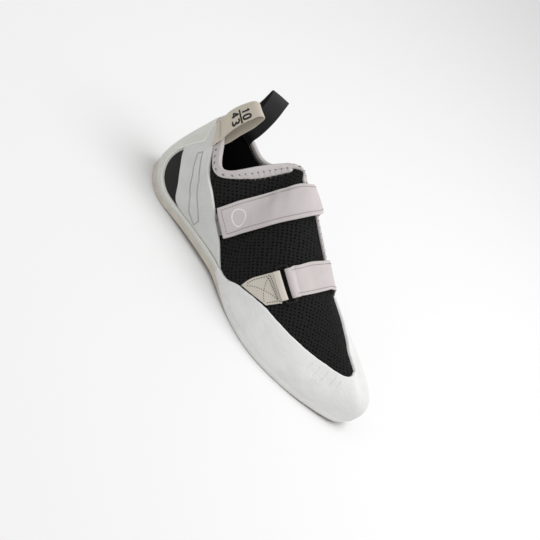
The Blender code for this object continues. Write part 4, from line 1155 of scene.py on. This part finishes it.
class Ribbon:
    """A smooth strip through coarse rows of points, measured in metres."""

    def __init__(self, rows, along, out):
        rows = np.array(rows)
        count, columns = rows.shape[:2]
        knots = run_length(rows.mean(axis=1))
        self.length = knots[-1]
        self.relief = lambda s, w: 0.0
        self.width = float(np.linalg.norm(np.diff(rows, axis=1), axis=-1).sum(axis=1).mean())
        self.s = np.linspace(0.0, self.length, along)
        fine = spline(knots, rows.reshape(count, -1))(self.s).reshape(along, columns, 3)
        edge = graded(0.0022, 0.00007, 1.45, 0.0006) / self.width
        middle = np.linspace(edge[-1], 1.0 - edge[-1], 22)[1:-1]
        self.w = np.concatenate([edge, middle, 1.0 - edge[::-1]])
        stacked = fine.transpose(1, 0, 2).reshape(columns, -1)
        wide = spline(np.linspace(0.0, 1.0, columns), stacked)(self.w)
        self.points = wide.reshape(len(self.w), along, 3).transpose(1, 0, 2)
        run, across = np.gradient(self.points, axis=(0, 1))
        self.normals = unit(np.cross(run, across))
        if self.normals[int(along * out[0]), len(self.w) // 2] @ np.array(out[1]) < 0.0:
            self.normals = -self.normals

    def at(self, s, w, lift=0.0):
        """Point and normal at a distance along and across, in metres."""
        s, w = np.broadcast_arrays(np.asarray(s, float), np.asarray(w, float) / self.width)
        i = np.clip(np.interp(s, self.s, np.arange(len(self.s))), 0.0, len(self.s) - 1.001)
        j = np.clip(np.interp(w, self.w, np.arange(len(self.w))), 0.0, len(self.w) - 1.001)
        a, b = np.floor(i).astype(int), np.floor(j).astype(int)
        f, g = (i - a)[..., None], (j - b)[..., None]

        def blend(table):
            near = table[a, b] * (1.0 - g) + table[a, b + 1] * g
            far = table[a + 1, b] * (1.0 - g) + table[a + 1, b + 1] * g
            return near * (1.0 - f) + far * f

        normal = unit(blend(self.normals))
        return blend(self.points) + normal * np.asarray(lift)[..., None], normal

    def solid(self, name, thickness, surface, slot, node, relief=None, rounding=0.0005):
        """The strip as a body with rounded edges and ends."""
        self.relief = relief or self.relief
        across = self.w * self.width
        beside = np.minimum(across, self.width - across)[None, :]
        rim = np.minimum(beside, np.minimum(self.s, self.length - self.s)[:, None])
        half = thickness / 2.0 * np.sqrt(clamp01(1.0 - (1.0 - clamp01(rim / rounding)) ** 2))
        lift = np.zeros_like(half) + self.relief(self.s[:, None], across[None, :])

        def both(top, bottom):
            return np.concatenate([top, bottom[:, -2:0:-1]], axis=1)

        top = self.points + self.normals * (lift + half)[..., None]
        bottom = self.points + self.normals * (lift - half)[..., None]
        flat = np.zeros_like(self.points)
        flat[..., 0] = self.s[:, None]
        flat[..., 1] = across
        edge = 1.0 - smooth((rim - 0.0002) / 0.0006)
        lay = both(flat, flat + (0.0, 0.0, 0.01))
        add_grid(name, both(top, bottom), surface, slot, [node], lay, both(edge, edge), closed=True)

    def near(self, point):
        """Distance along and across of the place nearest to a point."""
        apart = np.linalg.norm(self.points - point, axis=-1)
        i, j = np.unravel_index(np.argmin(apart), apart.shape)
        return self.s[i], self.w[j] * self.width

    def draw(self, name, line, width, lift, surface, slot):
        """A thin printed line along places given as distances along and across."""
        line = np.array(line, float)
        line = walk(line, max(2, int(run_length(line)[-1] / 0.0003)))
        run = unit(np.gradient(line, axis=0))
        side = np.stack([-run[:, 1], run[:, 0]], -1) * width / 2.0
        ends = [(line + side * share).T for share in (-1.0, 0.0, 1.0)]
        rows = [self.at(s, w, lift + self.relief(s, w))[0] for s, w in ends]
        return add_grid(name, np.stack(rows, axis=1), surface, slot)

    def sew(self, name, path, lift, pitch, fill, radius, surface, slot):
        """Stitches along a path of distances along and across."""
        line, normal = self.at(*walk(np.array(path), 200).T, lift)
        seam = stitch_run(line, normal, pitch, fill)
        return add_stitches(name, *seam, radius, surface, slot)


def webbing_rows(table, thickness, across, bow=0.0):
    """Middle points of webbing laid over the skin by a table, its first end bowed out."""
    rows = np.array(table)
    knots = np.arange(len(rows), dtype=float)
    part = np.linspace(0.0, 1.0, across)
    between = 3
    at = np.linspace(0.0, knots[-1], (len(rows) - 1) * between + 1)[:, None]
    at = at - bow * np.exp(-at / 2.0) * 4.0 * part * (1.0 - part)
    rows = spline(knots, rows)(at)
    u = rows[..., 0] + (rows[..., 2] - rows[..., 0]) * part
    g = rows[..., 1] + (rows[..., 3] - rows[..., 1]) * part
    return skin(*girth_place(u, g), rows[..., 4] * thickness)


def ring_frame(part):
    """Place, run of the strap and normal in the middle of the ring's window."""
    rear, front = skin(np.array([RING_REAR, RING_FRONT]), RING_GIRTH)
    across = unit(front - rear)
    q = RING_REAR + (RING_FRONT - RING_REAR) * np.asarray(part, float)
    normal = skin_normal(q, np.full_like(q, RING_GIRTH))
    normal = unit(normal - (normal @ across)[..., None] * across)
    return skin(q, RING_GIRTH), np.cross(normal, across), normal


# Height of the ring's bars above the skin, over one layer of webbing
BAR_HEIGHT = GAP + STRAP + GAP + RING_WIRE / 2.0


def fold_radius(thickness):
    """Radius of the middle of webbing that turns round a bar."""
    return RING_WIRE / 2.0 + GAP + thickness / 2.0


def fold_rows(side, thickness, before, after):
    """Webbing folded round a bar, between points of the section as distance and height."""
    radius = fold_radius(thickness)
    angles = np.radians(np.linspace(-90.0, -270.0, 11))
    path = [*before, *zip(radius * np.cos(angles), BAR_HEIGHT + radius * np.sin(angles)), *after]
    middle, run, normal = ring_frame(np.linspace(0.0, 1.0, 5))
    bar = side * (RING_STRAP_SIDE if side > 0.0 else RING_TAB_SIDE)
    return [middle + run * (bar + side * away) + normal * height for away, height in path]


def crease(s, w, middle, reach, depth, angle=0.0):
    """A soft trough (depth below zero) or ridge across a strap."""
    s, w = s - middle[0], w - middle[1]
    away = s * math.cos(angle) + w * math.sin(angle)
    side = w * math.cos(angle) - s * math.sin(angle)
    return depth * np.exp(-((away / reach[0]) ** 2) - (side / reach[1]) ** 2)


def from_edges(w, width, inset):
    """Distance to the nearer of two lines along a strap, inset from its edges."""
    return np.minimum(np.abs(w - inset), np.abs(width - inset - w))


def strap_seam(strip, name, path, thread):
    """Edge stitching on a suede strap."""
    lift = STRAP / 2.0 - 0.00004
    strip.sew(name, path, lift, SEAM_PITCH, SEAM_FILL, SEAM_THREAD, thread, "mauve_microfibre")


def make_upper_strap(surface, thread, badge):
    """The strap over the instep, with edge stitching and a plain badge."""
    strip = Ribbon(webbing_rows(UPPER_STRAP, STRAP, 5, 0.28), 170, (0.3, (0.0, -1.0, 1.0)))
    width = strip.width
    creases = [
        ((0.041, 0.006), (0.0030, 0.0090), -0.0005, 0.35),
        ((0.047, 0.010), (0.0028, 0.0100), 0.0005, 0.30),
        ((0.055, 0.006), (0.0030, 0.0080), -0.0004, 0.20),
        ((0.020, 0.009), (0.0060, 0.0040), 0.0003),
    ]

    def relief(s, w):
        dent = swell(from_edges(w, width, UPPER_SEAM), 0.0006, -0.00022)
        for shape in creases:
            dent = dent + crease(s, w, *shape)
        return dent

    strip.solid("upper_strap_suede", STRAP, surface, "mauve_microfibre", "upper_strap", relief)
    end = strip.length - SEAM_END
    sides = (UPPER_SEAM, width - UPPER_SEAM)
    path = [(end, sides[0]), (0.0036, sides[0]), (0.0036, sides[1]), (end, sides[1])]
    strap_seam(strip, "upper_strap_seam", path, thread)
    s, w = strip.near(over(*BADGE, SEAT + STRAP))
    turn = np.linspace(0.0, math.tau, 61)
    line = np.stack([s + BADGE_SIZE[0] * np.cos(turn), w + BADGE_SIZE[1] * np.sin(turn)], -1)
    lift = STRAP / 2.0 + PRINT_LIFT
    strip.draw("upper_strap_badge", line, BADGE_LINE, lift, badge, "mauve_microfibre")


def make_lower_strap(surface, thread):
    """The forefoot strap, folded back under itself round the ring."""
    low = GAP + STRAP / 2.0
    top = BAR_HEIGHT + fold_radius(STRAP)
    before = [(HOOK_RETURN, low), (HOOK_RETURN * 0.5, low)]
    fold = fold_rows(1.0, STRAP, before, [(HOOK_RETURN * 0.45, top - 0.0006)])
    rows = fold + list(webbing_rows(LOWER_STRAP, STRAP, 5))
    strip = Ribbon(rows, 200, (0.6, (0.0, 0.0, 1.0)))
    width = strip.width
    turn = HOOK_RETURN + math.pi * fold_radius(STRAP)

    def relief(s, w):
        seam = swell(from_edges(w, width, LOWER_SEAM), 0.0006, -0.0002)
        seam = seam * smooth((s - turn) / 0.004)
        return seam + crease(s, w, (turn + 0.016, 0.009), (0.004, 0.006), 0.0004)

    strip.solid("lower_strap_suede", STRAP, surface, "mauve_microfibre", "lower_strap", relief)
    for name, across in (("rear", LOWER_SEAM), ("front", width - LOWER_SEAM)):
        path = [(turn + SEAM_END / 2.0, across), (strip.length - SEAM_END, across)]
        strap_seam(strip, "lower_strap_seam_" + name, path, thread)


def make_strap_tab(surface, thread):
    """The suede tab that holds the ring, box-stitched."""
    radius = fold_radius(TAB)
    before = [(TAB_RETURN, BAR_HEIGHT - radius - 0.0002)]
    after = [(TAB_RETURN, BAR_HEIGHT + radius - 0.0006)]
    rows = list(webbing_rows(STRAP_TAB, TAB, 5)) + fold_rows(-1.0, TAB, before, after)
    strip = Ribbon(rows, 150, (0.2, (0.0, -1.0, 0.6)))
    fold = strip.length - TAB_RETURN - math.pi * radius
    end = fold - 0.0048
    second = end - 0.0018

    def relief(s, w):
        box = np.minimum(np.abs(s - end), np.abs(s - second))
        seam = np.minimum(box, from_edges(w, strip.width, TAB_SEAM))
        return swell(seam, 0.0007, -0.00018) * smooth((fold - 0.003 - s) / 0.001)

    strip.solid("strap_tab_suede", TAB, surface, "cream_suede", "strap_tab", relief)
    far, start = 0.003, max(0.002, end - 0.023)
    side, inner, cross = [(inset, strip.width - inset) for inset in (TAB_SEAM, 0.0032, 0.003)]
    paths = {
        "front": [(far, side[1]), (end, side[1])],
        "rear": [(far, side[0]), (end, side[0])],
        "end": [(end, side[0]), (end, side[1])],
        "second": [(second, inner[0]), (second, inner[1])],
        "cross_up": [(start, cross[0]), (second, inner[1])],
        "cross_down": [(start, cross[1]), (second, inner[0])],
    }
    for name, path in paths.items():
        lift = TAB / 2.0 - 0.00012
        strip.sew("tab_stitch_" + name, path, lift, 0.002, 0.46, 0.0004, thread, "cream_suede")


def make_pile(surface):
    """The pile patch under the strap's end, with its fuzz."""
    strip = Ribbon(webbing_rows(PILE_PATCH, PILE, 4), 50, (0.5, (0.0, -1.0, 0.5)))
    strip.solid("pile_backing", PILE * 0.7, surface, "grey_pile", "pile_patch")
    random = np.random.default_rng(7)
    s = random.uniform(0.0003, strip.length - 0.0003, HAIRS)
    w = random.uniform(0.0002, strip.width - 0.0002, HAIRS)
    foot, normal = strip.at(s, w, PILE * 0.3)
    lean = random.normal(0.0, 0.7, (HAIRS, 3))
    tip = foot + (normal + lean * 0.6) * random.uniform(*HAIR_LENGTH, (HAIRS, 1))
    side = unit(random.normal(0.0, 1.0, (HAIRS, 3)))
    thin = side * HAIR_WIDTH
    bend = (foot + tip) / 2.0 + side * 0.0002
    points = np.stack([foot - thin, foot + thin, bend + thin, bend - thin, tip], 1)
    one = [(0, 1, 2, 3), (3, 2, 4)]
    faces = [tuple(5 * k + i for i in face) for k in range(HAIRS) for face in one]
    add_piece("pile_fuzz", points, faces, surface, "grey_pile")


def make_ring(surface):
    """The rectangular ring that joins tab and lower strap."""
    ends = ring_frame(np.array([0.0, 1.0]))
    across = unit(ends[0][1] - ends[0][0])

    def bar(parts, away):
        frames = [ring_frame(part) for part in parts]
        return [middle + normal * BAR_HEIGHT + run * away for middle, run, normal in frames]

    def end(k, side):
        middle, run, normal = (row[k] for row in ends)
        middle = middle + across * side * RING_OVERHANG + normal * BAR_HEIGHT
        strap = middle + run * RING_STRAP_SIDE * 0.8
        tab = middle - run * RING_TAB_SIDE * 0.8
        return [strap, middle + across * side * 0.0002, tab]

    path = bar(RING_PARTS, RING_STRAP_SIDE) + end(1, 1.0)
    path += bar(RING_PARTS[::-1], -RING_TAB_SIDE) + end(0, -1.0)[::-1]
    wrapped = np.array([*path[-4:], *path, *path[:5]])
    chord = np.linalg.norm(np.diff(wrapped, axis=0), axis=1) ** 0.6
    chord = np.concatenate([[0.0], np.cumsum(chord)])
    at = np.linspace(chord[4], chord[4 + len(path)], 160, endpoint=False)
    path = spline(chord, wrapped)(at)
    run = unit(np.roll(path, -1, axis=0) - np.roll(path, 1, axis=0))
    side = unit(np.cross(run, ends[2].mean(axis=0)))
    lift = np.cross(side, run)
    turn = np.linspace(0.0, math.tau, 14, endpoint=False)
    ring = side[:, None] * np.cos(turn)[:, None] + lift[:, None] * np.sin(turn)[:, None]
    points = path[:, None] + ring * (RING_WIRE / 2.0)
    points = np.concatenate([points, points[:1]])
    add_grid("ring_plastic", points, surface, "black_plastic", ["strap_ring"], closed=True)


def make_pull_loop(name, medial, surface, thread):
    """A webbing loop on one side of the heel."""
    height = LOOP_HEIGHT_MEDIAL if medial else LOOP_HEIGHT
    bent = LOOP_LEAN_MEDIAL if medial else LOOP_LEAN
    u = np.linspace(LOOP_REAR, LOOP_FRONT, 3)
    q = 2.0 - u if medial else u
    edge = rib_point(q, np.ones_like(q))
    out = outward(q)
    outside = SEAT + RAND + GAP + LOOP / 2.0 + GAP
    within = -WALL - BINDING - 2.0 * GAP - LOOP / 2.0
    rows = []
    for up, offset, lean, level in PULL_LOOP:
        up = up * height
        if up < 0.0:
            lift = outside if offset > 0.0 else within
            if offset > 0.0 and not medial:
                up = up * np.array(LOOP_FOOT_SLANT)
            if offset < 0.0 and medial:
                up = up * LOOP_INNER_FOOT
            rows.append(skin(q, 1.0 + up / rib_length(q), lift))
            continue
        point = edge - out * WALL / 2.0 + out * offset * WALL
        if medial:
            narrow = 1.0 - LOOP_TAPER_MEDIAL * level
            point[:, :2] = point[1, :2] + (point[:, :2] - point[1, :2]) * narrow
            point[:, 0] += LOOP_BELLY * math.sin(math.pi * min(up / height, 1.0))
        point[:, 0] += lean * height * bent
        point[:, 2] += (edge[:, 2].mean() - edge[:, 2]) * level + up
        rows.append(point)
    strip = Ribbon(rows, 200, (0.3, (0.0, 1.0 if medial else -1.0, 0.0)))
    slot = "black_webbing" if medial else "beige_webbing"
    node = "pull_loop_medial" if medial else "pull_loop_lateral"
    strip.solid(name, LOOP, surface, slot, node, rounding=0.0004)
    low = strip.near(edge[1] + out[1] * 0.003)[0] + 0.0016
    steps = np.arange(13)
    wave = np.where(steps % 2 == 0, 0.0009, -0.0009)
    across = 0.0012 + (strip.width - 0.0024) * steps / 12.0
    line, normal = strip.at(low + wave, across, LOOP / 2.0 + 0.0001)
    add_stitches(name + "_tack", line[:-1], line[1:], normal[:-1], 0.00022, thread, slot)
    return strip


def print_size(strip, ink):
    """The plain size numbers on the beige loop, one over the other, in millimetres."""

    def arc(x, y, wide, high, turns, power=1.0):
        """Part of an oval, squared off by a power below 1."""
        cos, sin = np.cos(turns), np.sin(turns)
        wave = [np.copysign(np.abs(value) ** power, value) for value in (cos, sin)]
        return list(zip(x + wide * wave[0], y + high * wave[1]))

    top = arc(2.0, 3.65, 1.35, 1.25, np.linspace(2.5, -1.57, 20))
    foot = arc(2.0, 1.25, 1.5, 1.25, np.linspace(1.57, -2.5, 20))
    digits = [
        ("one", -5.2, 1.9, [(1.2, 4.1), (2.6, 4.9), (2.6, 0.1)]),
        ("nought", 0.3, 1.9, arc(2.1, 2.5, 1.35, 2.45, np.linspace(0.0, math.tau, 37), 0.75)),
        ("four", -5.6, -8.5, [(3.0, 0.0), (3.0, 5.0), (0.4, 1.5), (4.0, 1.5)]),
        ("three", 0.3, -8.5, top + foot),
    ]
    along, across = LOOP_PRINT
    lift = LOOP / 2.0 + PRINT_LIFT
    wide, high = DIGIT_STRETCH
    for name, x, y, stroke in digits:
        h, v = np.array(stroke).T
        line = np.stack([along + (y + v * high) * 0.001, across + (x + h * wide) * 0.001], -1)
        strip.draw(f"size_{name}_0", line, DIGIT_LINE, lift, ink, "beige_webbing")
    bar = [(along, across - 0.006), (along, across + 0.006)]
    strip.draw("size_bar", bar, BAR_LINE, lift, ink, "beige_webbing")


def make_upper(surface, lining):
    """The knitted upper and its lining, cut out at the throat."""
    parts = [np.linspace(0.0, 0.36, 60)[:-1], np.linspace(0.36, 0.48, 70)[:-1]]
    u = np.concatenate([*parts, np.linspace(0.48, 1.0, 110)])
    q = np.concatenate([u, 2.0 - u[-2:0:-1]])
    t = np.concatenate([np.linspace(0.0, 0.74, 34)[:-1], np.linspace(0.74, 1.0, 38)])
    grid_q, grid_t = np.meshgrid(q, t, indexing="ij")
    middle_q = (grid_q[:, :-1] + np.roll(grid_q, -1, 0)[:, :-1]) / 2.0
    middle_q[-1] = 2.0 - u[1] / 2.0
    middle_t = (grid_t[:, :-1] + grid_t[:, 1:]) / 2.0
    at = 2.0 - middle_q
    corner = np.array(sorted(THROAT_CORNER, key=lambda row: row[1]))
    rear = np.interp(middle_t, corner[:, 1], -corner[:, 0])
    lower = THROAT_SPLIT - throat_half(at)
    flap = np.array(FLAP_CORNER)
    edge = np.interp(at, flap[:, 0], 2.0 - flap[:, 1])
    upper = np.where(at < flap[-1, 0], edge, THROAT_SPLIT + throat_half(at))
    upper = np.where(at < flap[0, 0], 1.1, upper)
    slack = 0.004
    gone = (at > rear) & (middle_t > lower + slack) & (middle_t < upper - slack)
    gone &= (at > 0.37) & (at < THROAT_END)
    points = skin(grid_q, grid_t)
    on_vamp = np.where(q > 1.0, np.minimum(q, 2.0 - COLLAR_END), np.maximum(q, COLLAR_END))
    down = rib_length(on_vamp)[:, None] - run_length(points, axis=1)
    side = np.where(grid_q > 1.0, 1.0, -1.0)
    lay = np.stack([points[..., 0], down * side, np.zeros_like(down)], -1)
    holes = smooth((station(grid_q) - 0.275) / 0.03)

    def closed(values):
        return np.concatenate([values, values[:1]])

    outer = closed(points)
    faces = quads(*outer.shape[:2], keep=~gone)
    layers = closed(lay), closed(holes)
    add_piece("upper_mesh", outer, faces, surface, "black_mesh", ["upper"], *layers, weld=True)
    inner = closed(skin(grid_q, grid_t, -WALL))
    faces = [face[::-1] for face in faces]
    add_piece("upper_lining", inner, faces, lining, "black_lining", [], layers[0], weld=True)


def make_tongue(surface):
    """The tongue that closes the throat from inside."""
    rows = np.array(TONGUE_ROWS)
    rows = spline(np.arange(len(rows), dtype=float), rows)(np.linspace(0.0, len(rows) - 1.0, 40))
    g, rear, front = rows.T[..., None]
    u = rear + (front - rear) * np.linspace(0.0, 1.0, 60)
    q, t = girth_place(u, g)
    high = -WALL - GAP - BINDING - TONGUE_CLEARANCE
    ring = np.concatenate([skin(q, t, high), skin(q, t, high - TONGUE)[:, ::-1]], axis=1)
    add_grid("tongue_cloth", ring, surface, "black_lining", ["tongue"], closed=True)


def flat_piece(name, levels, surface, slot, node):
    """A level piece from outlines, capped by strips across the shoe."""
    size = len(levels[0])
    faces = []
    for i in range(len(levels) - 1):
        here, there = i * size, (i + 1) * size
        for k in range(size):
            before = (k - 1) % size
            faces.append((here + before, here + k, there + k, there + before))
    for start in (0, (len(levels) - 1) * size):
        for k in range(size // 2):
            strip = [k, k + 1, (size - k - 1) % size, -k % size]
            strip = [v for i, v in enumerate(strip) if v != strip[i - 1]]
            faces.append(tuple(start + v for v in strip))
    made = add_piece(name, np.array(levels), faces, surface, slot, [node])
    turn_outward(made)
    made.data.set_sharp_from_angle(angle=math.radians(30.0))


def make_sole(surface, board):
    """Outsole and insole board."""
    u = np.linspace(0.0, 1.0, 221)
    q = np.concatenate([u, 2.0 - u[-2:0:-1]])
    profile = [
        (0.0016, 0.0), (SOLE_BEVEL * 0.7, 0.0001), (0.0002, 0.0004), (0.0, SOLE_BEVEL),
        (0.0, SOLE - GAP), (GAP, SOLE),
    ]
    levels = [inset_edge(q, inset, height) - toe_round(q, height) for inset, height in profile]
    flat_piece("outsole_rubber", levels, surface, "sole_rubber", "outsole")
    wall = RAND + 2.0 * GAP + WALL + INSOLE_CLEARANCE
    profile = [(wall, 0.0), (wall, INSOLE * 0.7), (wall + 0.0008, INSOLE)]
    levels = [inset_edge(q, inset, SOLE + GAP + height) for inset, height in profile]
    flat_piece("insole_cloth", levels, board, "insole_board", "insole")


def aim(made, right, up, back, at):
    """Stands a lamp or the camera at a point, looking away from back."""
    turned = np.eye(4)
    turned[:3] = np.stack([right, up, back, at], 1)
    made.matrix_world = Matrix(turned.tolist())


def studio():
    """Pale floor and soft light."""
    n = Nodes("floor_paper")
    base = n.mix(n.noise(n.lay(), 3.0, 1.0), FLOOR_COLOUR, shade(FLOOR_COLOUR, 1.01))
    size = 9.0
    corners = [(-size, -size, 0.0), (size, -size, 0.0), (size, size, 0.0), (-size, size, 0.0)]
    mesh = bpy.data.meshes.new("floor")
    mesh.from_pydata(corners, [], [(0, 1, 2, 3)])
    mesh.materials.append(n.done(base, 0.9, specular=0.1))
    add_object("floor", mesh)
    world = bpy.data.worlds.new("studio")
    bpy.context.scene.world = world
    world.use_nodes = True
    sky = world.node_tree.nodes["Background"].inputs
    sky[0].default_value = (*SKY_COLOUR, 1.0)
    sky[1].default_value = SKY
    for name, at, power, width in LAMPS:
        data = bpy.data.lights.new(name, "AREA")
        data.energy = power
        data.shape = "DISK"
        data.size = width
        back = unit(np.array(at) - (0.0, 0.0, 0.05))
        right = unit(np.cross([0.0, 0.0, 1.0], back))
        aim(add_object(name, data), right, np.cross(back, right), back, at)
    bpy.context.scene.view_settings.view_transform = "Standard"


def make_camera():
    """The photograph's view, rolled so that the shoe stands heel up."""
    side, rise = math.cos(ELEVATION), math.sin(ELEVATION)
    back = np.array([math.sin(AZIMUTH) * side, -math.cos(AZIMUTH) * side, rise])
    level = np.array([math.cos(AZIMUTH), math.sin(AZIMUTH), 0.0])
    above = np.cross(back, level)
    right = level * math.cos(ROLL) + above * math.sin(ROLL)
    up = above * math.cos(ROLL) - level * math.sin(ROLL)
    data = bpy.data.cameras.new("camera")
    data.sensor_width = SENSOR
    data.lens = FOCAL / PICTURE * SENSOR
    data.shift_x = SHIFT_X / PICTURE
    data.shift_y = SHIFT_Y / PICTURE
    camera = add_object("camera", data)
    aim(camera, right, up, back, TARGET + back * DISTANCE)
    bpy.context.scene.camera = camera


def main():
    """Builds the whole scene."""
    make_camera()
    studio()
    band = rubber_surface("band_rubber", BAND_COLOUR, 0.25, 0.0, True)
    lining = lining_surface("black_lining", (0.008, 0.008, 0.008))
    board = lining_surface("insole_board", (0.012, 0.012, 0.012))
    tape = webbing_surface("mauve_tape", TAPE_COLOUR, 0.85, 900.0)
    thread = thread_surface("pale_thread", THREAD_COLOUR)
    # Strap stitches: dark thread colour with painted shade of the stitch holes in it.
    strap_thread_and_shade = thread_surface("strap_thread_and_shade", STRAP_THREAD_AND_SHADE_COLOUR)
    dark_thread = thread_surface("needle_shadow", (0.05, 0.045, 0.045))
    suede = suede_surface("mauve_microfibre", SUEDE_COLOUR)
    make_sole(sole_surface(), board)
    make_upper(mesh_surface(), lining)
    make_tongue(lining)
    make_toe_rand(rubber_surface("rand_rubber", RAND_COLOUR, 0.35, 0.5))
    make_slingshot("slingshot_lateral_rubber", False, band)
    make_slingshot("slingshot_medial_rubber", True, band)
    make_heel_cup(rubber_surface("cup_rubber", CUP_COLOUR, 0.25))
    make_tape(tape, thread, dark_thread)
    make_pile(pile_surface())
    make_upper_strap(suede, strap_thread_and_shade, print_surface("white_print", (0.8, 0.8, 0.8)))
    make_lower_strap(suede, strap_thread_and_shade)
    make_strap_tab(suede_surface("cream_suede", TAB_COLOUR), dark_thread)
    make_ring(plastic_surface())
    beige = make_pull_loop("beige_loop", False, webbing_surface("beige_webbing", BEIGE, 0.85), thread)
    print_size(beige, print_surface("black_print", (0.015, 0.015, 0.015)))
    black = webbing_surface("black_webbing", BLACK_TAPE, 0.55)
    make_pull_loop("black_loop", True, black, thread_surface("black_thread", (0.02, 0.02, 0.02)))


main()
